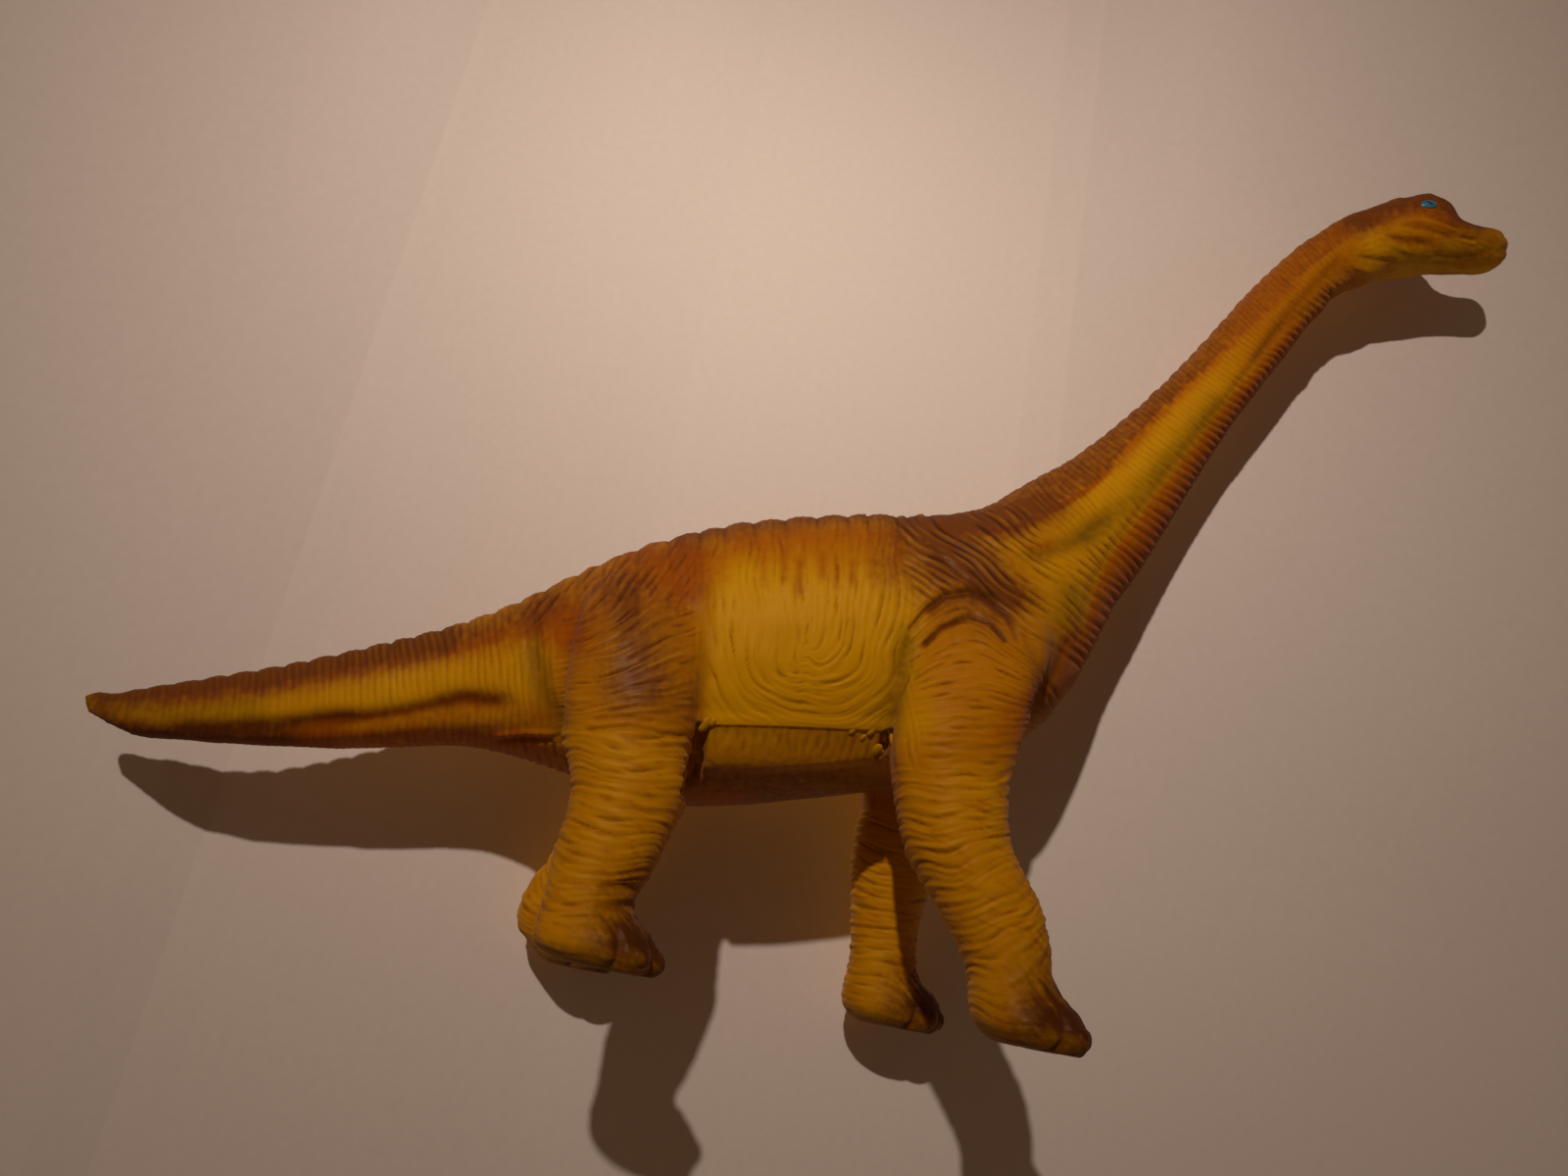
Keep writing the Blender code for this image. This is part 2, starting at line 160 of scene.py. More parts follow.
def follow(path: Path, u: np.ndarray, v: np.ndarray) -> Along:
    """Finds each point's nearest place on a path.

    Args:
        path: Corners of the path, in mm of the side view.
        u: Points' forward places.
        v: Points' heights.

    Returns:
        Where the points lie.
    """
    nearest = np.full(u.shape, np.inf, np.float32)
    side = np.zeros(u.shape, np.float32)
    run = np.zeros(u.shape, np.float32)
    walked = 0.0
    last = len(path) - 2
    for n, ((u0, v0), (u1, v1)) in enumerate(zip(path, path[1:])):
        du, dv = u1 - u0, v1 - v0
        length = math.hypot(du, dv)
        reach = ((u - u0) * du + (v - v0) * dv) / length**2
        held = np.clip(reach, 0, 1)
        off = np.hypot(u - u0 - held * du, v - v0 - held * dv)
        closer = off < nearest
        shown = np.where((n == 0) & (reach < 0) | (n == last) & (reach > 1), reach, held)
        nearest = np.where(closer, off, nearest)
        side = np.where(closer, np.sign(du * (v - v0) - dv * (u - u0)) * off, side)
        run = np.where(closer, walked + shown * length, run)
        walked += length
    return Along(nearest, side, run)


class SideView:
    """The figure's side as it is seen from the camera, drawn on its middle plane.

    Forms and paint of the two sides are laid out in this view, in millimetres, and the far side
    is taken as the near side's mirror image.

    Attributes:
        eye: Place of the camera, in mm.
    """

    eye: ClassVar[tuple[float, float, float]] = (-14.85, -241.5, -3.5)

    @classmethod
    def of(cls, points: np.ndarray) -> tuple[np.ndarray, np.ndarray]:
        """Projects points.

        Args:
            points: Places in mm, one a row.

        Returns:
            The forward places and the heights on the middle plane.
        """
        ex, ey, ez = cls.eye
        scale = ey / (ey + np.abs(points[:, 1]))
        return ex + (points[:, 0] - ex) * scale, ez + (points[:, 2] - ez) * scale


@dataclass(frozen=True)
class Folds:
    """A set of nearly parallel skin folds.

    Attributes:
        spacing: Distance from one crease to the next, in mm.
        length: How far a crease runs before it fades or meets another, in mm.
        depth: Depth of a crease, in mm.
        wander: How far the creases stray, in spacings.
        order: 1 for creases as even as ribs, 0 for a loose tangle.
        seed: Picks the pattern.
        drift_span: Size of the noise that bends the creases, in spacings and lengths.
        loose_span: Size of the noise of a loose tangle, likewise.
        loose_gain: Its contrast.
        calm_height: Height of the skin where the creases fade.
    """

    drift_span: ClassVar[tuple[float, float, float]] = (3.1, 1.0, 1.3)
    loose_span: ClassVar[tuple[float, float, float]] = (0.62, 0.6, 1.0)
    loose_gain: ClassVar[float] = 1.3
    calm_height: ClassVar[float] = 0.75

    spacing: float
    length: float
    depth: float
    wander: float
    order: float
    seed: int

    def _noise(self, seed: int, span: tuple[float, float, float],
               places: tuple[np.ndarray, np.ndarray, np.ndarray]) -> np.ndarray:
        """Noise whose span is given in spacings across the creases and in lengths otherwise."""
        sizes = (self.spacing, self.length, self.length)
        return GradientNoise(seed).at(*(p / (s * size) for p, s, size in zip(places, span, sizes)))

    def height(self, across: np.ndarray, along: np.ndarray, third: np.ndarray) -> np.ndarray:
        """Reads the folds' relief.

        Args:
            across: Place across the creases, in mm.
            along: Place along the creases, in mm.
            third: Place through the toy, in mm, so that its two sides differ.

        Returns:
            0 at the bottom of a crease, 1 on the crest of a fold.
        """
        places = (across, along, third)
        drift = self._noise(self.seed, self.drift_span, places)
        loose = self._noise(self.seed + 1, self.loose_span, places)
        phase = across / self.spacing + self.wander * drift
        even = 0.5 - 0.5 * np.cos(2 * math.pi * phase)
        free = np.clip(0.5 + self.loose_gain * loose, 0, 1)
        mixed = blend(free, even, self.order)
        calm = smoothstep(drift, 0.2, 0.7) * (0.4 - 0.3 * self.order)
        return blend(mixed, np.full_like(mixed, self.calm_height), calm)


class Mouldings(Enum):
    """The figure's mouldings, by their nodes."""

    BODY = "body_shell"
    PLATE = "belly_plate"
    FORE_RIGHT = "fore_leg_right"
    FORE_LEFT = "fore_leg_left"
    HIND_RIGHT = "hind_leg_right"
    HIND_LEFT = "hind_leg_left"

    @property
    def hind(self) -> bool:
        """Whether it is a hind leg."""
        return self.value.startswith("hind")

    @property
    def right(self) -> bool:
        """Whether it is a leg of the right side."""
        return self.value.endswith("right")


LEGS = (Mouldings.FORE_RIGHT, Mouldings.FORE_LEFT, Mouldings.HIND_RIGHT, Mouldings.HIND_LEFT)


@dataclass(frozen=True)
class Parting:
    """The tilted plane on which the belly plate and the legs part from the shell.

    Attributes:
        hip: Forward place at which the plane's height is given, in mm.
        height: Height of the plane there, in mm.
        tilt: Its slope up towards the head, in degrees.
        hind_drop: Distance from it down to the hind legs' joint plane, in mm.
        fore_drop: Distance from it down to the forelegs' joint plane, in mm.
        middle: Forward place between the hind legs and the forelegs, in mm.
    """

    hip: float = -38.85
    height: float = 43.8
    tilt: float = 9.5
    hind_drop: float = 3.5
    fore_drop: float = 9.5
    middle: float = -8.0

    def level(self, x: np.ndarray | float) -> np.ndarray | float:
        """Height of the parting plane at a forward place, in mm."""
        return self.height + (x - self.hip) * math.tan(math.radians(self.tilt))

    def joint_level(self, x: np.ndarray) -> np.ndarray:
        """Height of the legs' joint planes at forward places, in mm."""
        drop = np.where(x < self.middle, self.hind_drop, self.fore_drop)
        return self.level(x) - drop


class LegLine:
    """The middle line of one leg, read from its solid.

    Attributes:
        slice: Height of the slices whose middles make the line, in mm.
        socket: Length of the leg's top that the line leaves out, in mm.
        steepest: Greatest slope that is followed.
        sole: Heights between which the slope sets in, in mm.
    """

    slice: ClassVar[float] = 4.0
    socket: ClassVar[float] = 12.0
    steepest: ClassVar[float] = 0.7
    sole: ClassVar[tuple[float, float]] = (3.0, 15.0)

    def __init__(self, node: str) -> None:
        """Reads the line.

        Args:
            node: The leg's node.
        """
        points = numbers(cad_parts[node].data.vertices, "co", 3) / MM
        rows = []
        for level in np.arange(self.slice / 2, points[:, 2].max() - self.socket, self.slice):
            held = points[np.abs(points[:, 2] - level) < self.slice]
            rows.append([*(held[:, :2].max(0) + held[:, :2].min(0)) / 2, level])
        self.rows = np.array(rows)
        near = np.pad(self.rows[:, 0], 2, mode="edge")
        calm = np.convolve(near, np.ones(5) / 5, mode="valid")
        slope = np.clip(np.gradient(calm, self.rows[:, 2]), -self.steepest, self.steepest)
        self.slope = slope * smoothstep(self.rows[:, 2], *self.sole)

    def at(self, height: np.ndarray | float) -> tuple[np.ndarray, np.ndarray, np.ndarray]:
        """Forward places, sideways places and slopes of the line at heights."""
        columns = (self.rows[:, 0], self.rows[:, 1], self.slope)
        return tuple(np.interp(height, self.rows[:, 2], column) for column in columns)

    def place(self, points: np.ndarray) -> tuple[np.ndarray, np.ndarray, np.ndarray]:
        """Lays points out by the leg.

        Args:
            points: Places in mm, one a row.

        Returns:
            The run up the line from the sole, and the places ahead of and beside the line.
        """
        x, y, slope = self.at(points[:, 2])
        ahead, beside = points[:, 0] - x, points[:, 1] - y
        return (points[:, 2] + slope * ahead) / np.sqrt(1 + slope**2), ahead, beside


@dataclass(frozen=True)
class Foot:
    """Where a foot's toes spread from.

    Attributes:
        back: Forward place of the point that the toes spread from, in mm.
        middle: Sideways place of it, in mm.
        grooves: Angles of the grooves between the toes, in degrees.
        nails: Angles of the toes.
        spread: Distance of that point behind the toe tips, in half widths of the foot.
        low: Height up to which the foot's outline is read, in mm.
        groove_depth: Depth of the grooves, in mm.
        groove_width: Angle at which a groove has faded to a third, in degrees.
        nail_rise: How far the toes swell, in mm.
        nail_width: Angle at which a toe has faded to a third, in degrees.
    """

    grooves: ClassVar[tuple[float, ...]] = (-47.0, -15.0, 15.0, 47.0)
    nails: ClassVar[tuple[float, ...]] = (-31.0, 0.0, 31.0)
    spread: ClassVar[float] = 1.55
    low: ClassVar[float] = 8.0
    groove_depth: ClassVar[float] = 0.95
    groove_width: ClassVar[float] = 4.4
    nail_rise: ClassVar[float] = 0.4
    nail_width: ClassVar[float] = 10.0

    back: float
    middle: float

    @classmethod
    def of(cls, leg: Mouldings) -> "Foot":
        """Reads a foot off its leg's solid.

        Args:
            leg: The leg.

        Returns:
            Its foot.
        """
        points = numbers(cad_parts[leg.value].data.vertices, "co", 3) / MM
        low = points[points[:, 2] < cls.low]
        half = float(low[:, 1].max() - low[:, 1].min()) / 2
        return cls(float(low[:, 0].max()) - cls.spread * half, float(low[:, 1].max()) - half)

    def turn(self, x: np.ndarray, y: np.ndarray) -> tuple[np.ndarray, np.ndarray]:
        """Angles in degrees, and distances, of places seen from where the toes spread."""
        ahead, beside = x - self.back, y - self.middle
        return np.degrees(np.arctan2(beside, ahead)), np.hypot(ahead, beside)


def numbers(items: bpy.types.bpy_prop_collection, name: str, width: int,
            kind: type = np.float32) -> np.ndarray:
    """Reads one property of many items.

    Args:
        items: Vertices, normals or the like.
        name: The property.
        width: How many numbers it has.
        kind: Their type.

    Returns:
        The numbers, one item a row, or a flat array where width is 1.
    """
    flat = np.empty(len(items) * width, kind)
    items.foreach_get(name, flat)
    return flat if width == 1 else flat.reshape(-1, width)


def write_layer(mesh: bpy.types.Mesh, name: str, values: np.ndarray) -> None:
    """Keeps one number or one vector for each vertex.

    Args:
        mesh: The mesh.
        name: The attribute.
        values: The numbers, or the vectors, one a row.
    """
    kind, key = ("FLOAT", "value") if values.ndim == 1 else ("FLOAT_VECTOR", "vector")
    layer = mesh.attributes.get(name) or mesh.attributes.new(name, kind, "POINT")
    layer.data.foreach_set(key, values.astype(np.float32).ravel())


def read_layer(mesh: bpy.types.Mesh, name: str) -> np.ndarray:
    """Reads what write_layer has kept.

    Args:
        mesh: The mesh.
        name: The attribute.

    Returns:
        The numbers, or the vectors, one a row.
    """
    layer = mesh.attributes[name]
    key, width = ("vector", 3) if layer.data_type == "FLOAT_VECTOR" else ("value", 1)
    return numbers(layer.data, key, width)


def gathered(index: np.ndarray, vectors: np.ndarray, count: int) -> np.ndarray:
    """Sums vectors by the vertex they belong to."""
    return np.stack([np.bincount(index, vectors[:, n], count) for n in range(3)], axis=1)


def quad_normals(mesh: bpy.types.Mesh) -> np.ndarray:
    """Works out the vertex normals of a mesh of quads afresh.

    Args:
        mesh: The mesh, whose points may just have been moved.

    Returns:
        A unit normal for each vertex.
    """
    points = numbers(mesh.vertices, "co", 3)
    corners = numbers(mesh.loops, "vertex_index", 1, np.int32)
    a, b, c, d = (points[corners[n::4]] for n in range(4))
    total = gathered(corners, np.repeat(np.cross(c - a, d - b), 4, axis=0), len(points))
    return (total / np.linalg.norm(total, axis=1)[:, None]).astype(np.float32)


def link(name: str, mesh: bpy.types.Mesh) -> bpy.types.Object:
    """Puts a mesh into the scene.

    Args:
        name: The object's name.
        mesh: Its mesh.

    Returns:
        The object.
    """
    made = bpy.data.objects.new(name, mesh)
    bpy.context.scene.collection.objects.link(made)
    return made


def built_mesh(built: bmesh.types.BMesh, name: str) -> bpy.types.Mesh:
    """Turns what was built into a mesh, and frees it.

    Args:
        built: What was built.
        name: The mesh's name.

    Returns:
        The mesh.
    """
    mesh = bpy.data.meshes.new(name)
    built.to_mesh(mesh)
    built.free()
    return mesh


def baked(obj: bpy.types.Object) -> bpy.types.Mesh:
    """Turns an object with modifiers into a plain mesh and removes the object.

    Args:
        obj: The object.

    Returns:
        The mesh as the modifiers leave it.
    """
    graph = bpy.context.evaluated_depsgraph_get()
    mesh = bpy.data.meshes.new_from_object(obj.evaluated_get(graph))
    bpy.data.objects.remove(obj)
    return mesh


@dataclass
class Skin:
    """One smooth closed skin round all the mouldings, ready for sculpting.

    Attributes:
        voxel: Mesh size of the first, coarse skin, in metres.
        weld: Distance at which the solids' points are joined, in metres.
        rounds: How often the coarse skin is smoothed.
        steps: The two steps of each round, which shrink the form and swell it again.
        levels: How often the smoothed skin is subdivided.
    """

    voxel: float = 0.0014
    weld: float = 1e-5
    rounds: int = 14
    steps: tuple[float, float] = (0.62, -0.64)
    levels: int = 2

    def build(self) -> bpy.types.Mesh:
        """Makes the skin.

        Returns:
            A closed mesh of small quads.
        """
        joined = bmesh.new()
        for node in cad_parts.values():
            joined.from_mesh(node.data)
        bmesh.ops.remove_doubles(joined, verts=joined.verts[:], dist=self.weld)
        coarse = link("skin", built_mesh(joined, "skin"))
        remesh = coarse.modifiers.new("remesh", "REMESH")
        remesh.mode = "VOXEL"
        remesh.voxel_size = self.voxel
        mesh = baked(coarse)
        self._smooth(mesh)
        fine = link("skin", mesh)
        subdivide = fine.modifiers.new("subdivide", "SUBSURF")
        subdivide.levels = subdivide.render_levels = self.levels
        return baked(fine)

    def _smooth(self, mesh: bpy.types.Mesh) -> None:
        """Takes out the solids' facets without shrinking the form.

        Args:
            mesh: The coarse skin.
        """
        points = numbers(mesh.vertices, "co", 3).astype(float)
        pairs = numbers(mesh.edges, "vertices", 2, np.int32)
        ends = np.concatenate([pairs, pairs[:, ::-1]])
        count = np.bincount(ends[:, 0], minlength=len(points))[:, None]
        for step in self.steps * self.rounds:
            near = gathered(ends[:, 0], points[ends[:, 1]], len(points))
            points += step * (near / count - points)
        mesh.vertices.foreach_set("co", points.astype(np.float32).ravel())


SPINE: Path = (
    (-148.9, 32.7), (-142.8, 31.9), (-136.3, 32.8), (-123.0, 36.0), (-110.7, 39.2),
    (-100.6, 42.5), (-89.3, 45.9), (-78.4, 50.0), (-68.9, 53.3), (-57.8, 57.1),
    (-43.5, 60.7), (-25.3, 64.7), (-3.8, 70.5), (9.3, 73.8), (24.0, 78.8), (35.1, 87.8),
    (41.7, 98.3), (46.8, 107.8), (53.0, 115.8), (59.4, 125.1), (65.5, 136.0), (70.8, 145.0),
    (76.4, 155.0), (82.5, 164.8), (88.4, 173.7), (94.4, 183.2), (99.5, 191.3),
    (105.6, 197.5), (112.3, 202.0), (120.5, 207.1), (131.1, 210.5), (144.3, 209.2),
)


@dataclass(frozen=True)
class Form:
    """A ridge or a groove along a path of the side view.

    Attributes:
        path: Its corners, in mm.
        width: Half width at which it has faded to a third, in mm.
        rise: Height of the ridge in mm, or minus the depth of the groove.
        right_only: Only on the right side, as on a leg whose pose the left one doesn't share.
    """

    path: Path
    width: float
    rise: float
    right_only: bool = False


@dataclass(frozen=True)
class Spray:
    """A pass of the airbrush along a path of the side view.

    Attributes:
        path: Its corners, in mm.
        width: Half width of its core, in mm.
        strength: Cover in the middle, from 0 to 1, or below 0 where paint was wiped off.
        fade: Half width at which the paint has thinned to a third, in half widths of the core.
    """

    fade: ClassVar[float] = 1.35

    path: Path
    width: float
    strength: float


ARCH: Path = ((13.6, 79.7), (16.5, 85.5), (20.3, 89.7), (25.1, 91.6), (30.0, 91.2),
              (34.2, 88.3), (37.9, 82.2))
LOW_ARCH: Path = ((16.6, 76.9), (20.2, 82.1), (25.8, 86.0), (31.0, 85.6), (35.0, 81.6))
ARM_LINE: Path = ((13.7, 78.6), (12.9, 69.5), (11.8, 58.9))
THIGH_FRONT: Path = ((-32.4, 83.2), (-28.6, 68.1), (-26.8, 52.0))
THIGH_BACK: Path = ((-66.4, 69.0), (-64.4, 60.0), (-60.5, 52.4), (-54.8, 45.4))
TAIL_GROOVE: Path = ((-109.7, 35.0), (-102.9, 37.9), (-93.4, 40.2), (-86.3, 42.8), (-80.8, 45.4),
                     (-76.2, 47.5), (-70.5, 48.1), (-65.4, 48.2))
TAIL_SHADE: Path = ((-132.0, 30.0), (-118.0, 33.0), (-106.0, 36.2), (-96.0, 39.2))
NECK_LINE: Path = ((28.3, 106.4), (33.7, 108.8), (41.2, 114.5), (48.7, 121.3), (53.8, 127.8),
                   (58.1, 135.5), (63.5, 143.2), (69.7, 152.1), (80.8, 168.1), (87.5, 176.2),
                   (92.4, 183.8), (100.1, 193.8), (108.0, 203.0), (114.0, 208.6))
THROAT_LINE: Path = ((50.0, 78.0), (51.0, 88.0), (52.8, 99.0), (56.9, 109.2), (60.8, 116.4),
                     (64.9, 123.8), (69.4, 132.5), (75.4, 143.0), (80.0, 151.0), (86.6, 162.6),
                     (92.5, 173.4), (100.6, 182.6), (107.5, 188.9))
NECK_HOLLOW: Path = ((36.2, 102.8), (40.6, 103.5), (46.7, 107.3), (51.8, 112.7), (55.5, 116.9))
NECK_SHADE: Path = ((50.3, 108.8), (56.2, 117.1), (60.6, 122.4), (65.9, 130.8), (71.0, 139.4),
                    (77.5, 149.9))
NECK_BULGE: Path = ((107.9, 198.7), (103.7, 192.5), (94.2, 178.0), (86.9, 163.6))
CHEEK: Path = ((119.5, 207.6), (123.4, 207.2), (130.5, 207.9))
NOSTRIL: Path = ((138.2, 211.6), (142.3, 211.5))

FORMS: tuple[Form, ...] = (
    Form(ARCH, 0.7, -0.75),
    Form(((15.0, 84.0), (18.5, 91.0), (25.1, 94.0), (32.0, 93.2)), 1.5, 0.35),
    Form(LOW_ARCH, 0.6, -0.6),
    Form(((38.2, 85.7), (42.3, 77.4), (43.8, 66.7)), 1.4, -0.4),
    Form(((16.8, 100.1), (24.1, 94.5), (32.4, 89.1)), 0.8, -0.35),
    Form(ARM_LINE, 1.3, -0.5),
    Form(THIGH_FRONT, 1.5, -0.35),
    Form(THIGH_BACK, 1.9, -0.55),
    Form(((-50.1, 45.6), (-41.4, 48.1), (-29.0, 47.9)), 0.6, -0.5),
    Form(((-49.0, 48.2), (-43.4, 49.9), (-36.0, 50.3)), 0.6, -0.4),
    Form(TAIL_GROOVE, 1.9, -0.55),
    Form(TAIL_SHADE, 1.8, -0.35),
    Form(((-104.0, 33.8), (-94.0, 36.6), (-82.0, 40.6), (-68.0, 44.4)), 1.8, 0.4),
    Form(((-67.5, 41.2), (-61.8, 42.9), (-56.0, 43.8)), 0.6, 0.45),
    Form(((-67.0, 39.8), (-61.8, 41.3), (-56.0, 42.2)), 0.5, -0.55),
    Form(THROAT_LINE, 1.5, -0.45),
    Form(NECK_HOLLOW, 2.2, -0.5),
    Form(NECK_BULGE, 1.3, -0.32),
    Form(((101.0, 183.0), (92.0, 168.0), (83.0, 152.0)), 1.8, 0.35),
    Form(((28.3, 105.0), (38.7, 112.0), (47.1, 119.9), (63.7, 143.9)), 1.0, 0.3),
    Form(((48.7, 85.4), (45.7, 75.8), (41.4, 65.2)), 0.9, -0.4),
    Form(((-39.9, 15.4), (-35.5, 16.2), (-31.6, 16.4)), 0.8, -0.6, True),
    Form(((-39.8, 11.6), (-35.6, 12.4), (-32.0, 13.6)), 0.8, -0.6, True),
    # head: skull, lids, brow, cheek, nostril, lips, jaw and jowl
    Form(((119.0, 219.6), (122.6, 221.4)), 1.5, 0.45),
    Form(((125.4, 217.6), (127.2, 221.6), (130.4, 223.2), (133.7, 222.5), (135.2, 219.6)),
         0.8, 0.35),
    Form(((124.8, 214.3), (132.0, 214.2), (138.5, 212.6)), 0.9, 0.4),
    Form(((129.0, 216.4), (138.5, 213.9)), 0.6, -0.25),
    Form(((123.0, 211.9), (130.0, 211.9), (136.5, 210.6)), 0.8, -0.25),
    Form(CHEEK, 1.3, -0.38),
    Form(((119.9, 204.7), (125.2, 204.0), (130.0, 204.6)), 1.5, 0.4),
    Form(NOSTRIL, 0.65, -0.34),
    Form(((138.6, 210.4), (142.2, 210.2)), 0.6, 0.3),
    Form(((131.0, 203.9), (137.0, 205.2), (143.0, 207.0), (146.4, 209.6), (147.4, 212.6)),
         0.8, -0.14),
    Form(((109.5, 196.3), (114.5, 196.0), (118.5, 197.3)), 1.6, 0.55),
    Form(((112.0, 199.8), (117.0, 199.4), (121.0, 200.6)), 0.9, -0.3),
    Form(((112.7, 207.9), (117.8, 211.7), (122.8, 213.2)), 1.4, -0.3),
    Form(((134.5, 224.0), (136.8, 222.9), (138.6, 221.0)), 2.5, -0.8),
    Form(((140.4, 218.6), (142.4, 218.1), (146.2, 217.9), (149.1, 218.0), (151.4, 216.0)),
         2.5, -1.1),
    Form(((152.4, 213.4), (152.2, 209.8)), 2.6, -0.45),
    Form(((124.0, 222.5), (131.0, 224.4)), 2.6, -0.3),
    Form(((104.5, 207.5), (110.0, 211.8)), 2.6, 0.45),
    Form(((103.0, 182.5), (108.0, 189.5), (113.5, 193.0)), 2.6, 0.9),
    Form(((145.0, 216.4), (147.6, 215.2)), 1.0, 0.25),
    Form(((138.5, 200.6), (143.5, 202.0), (147.8, 205.4)), 2.5, 1.05),
    Form(((150.6, 209.2), (149.6, 206.6)), 1.8, 0.55),
    Form(((120.0, 200.4), (129.0, 200.9), (138.0, 202.0)), 2.2, 0.5),
)

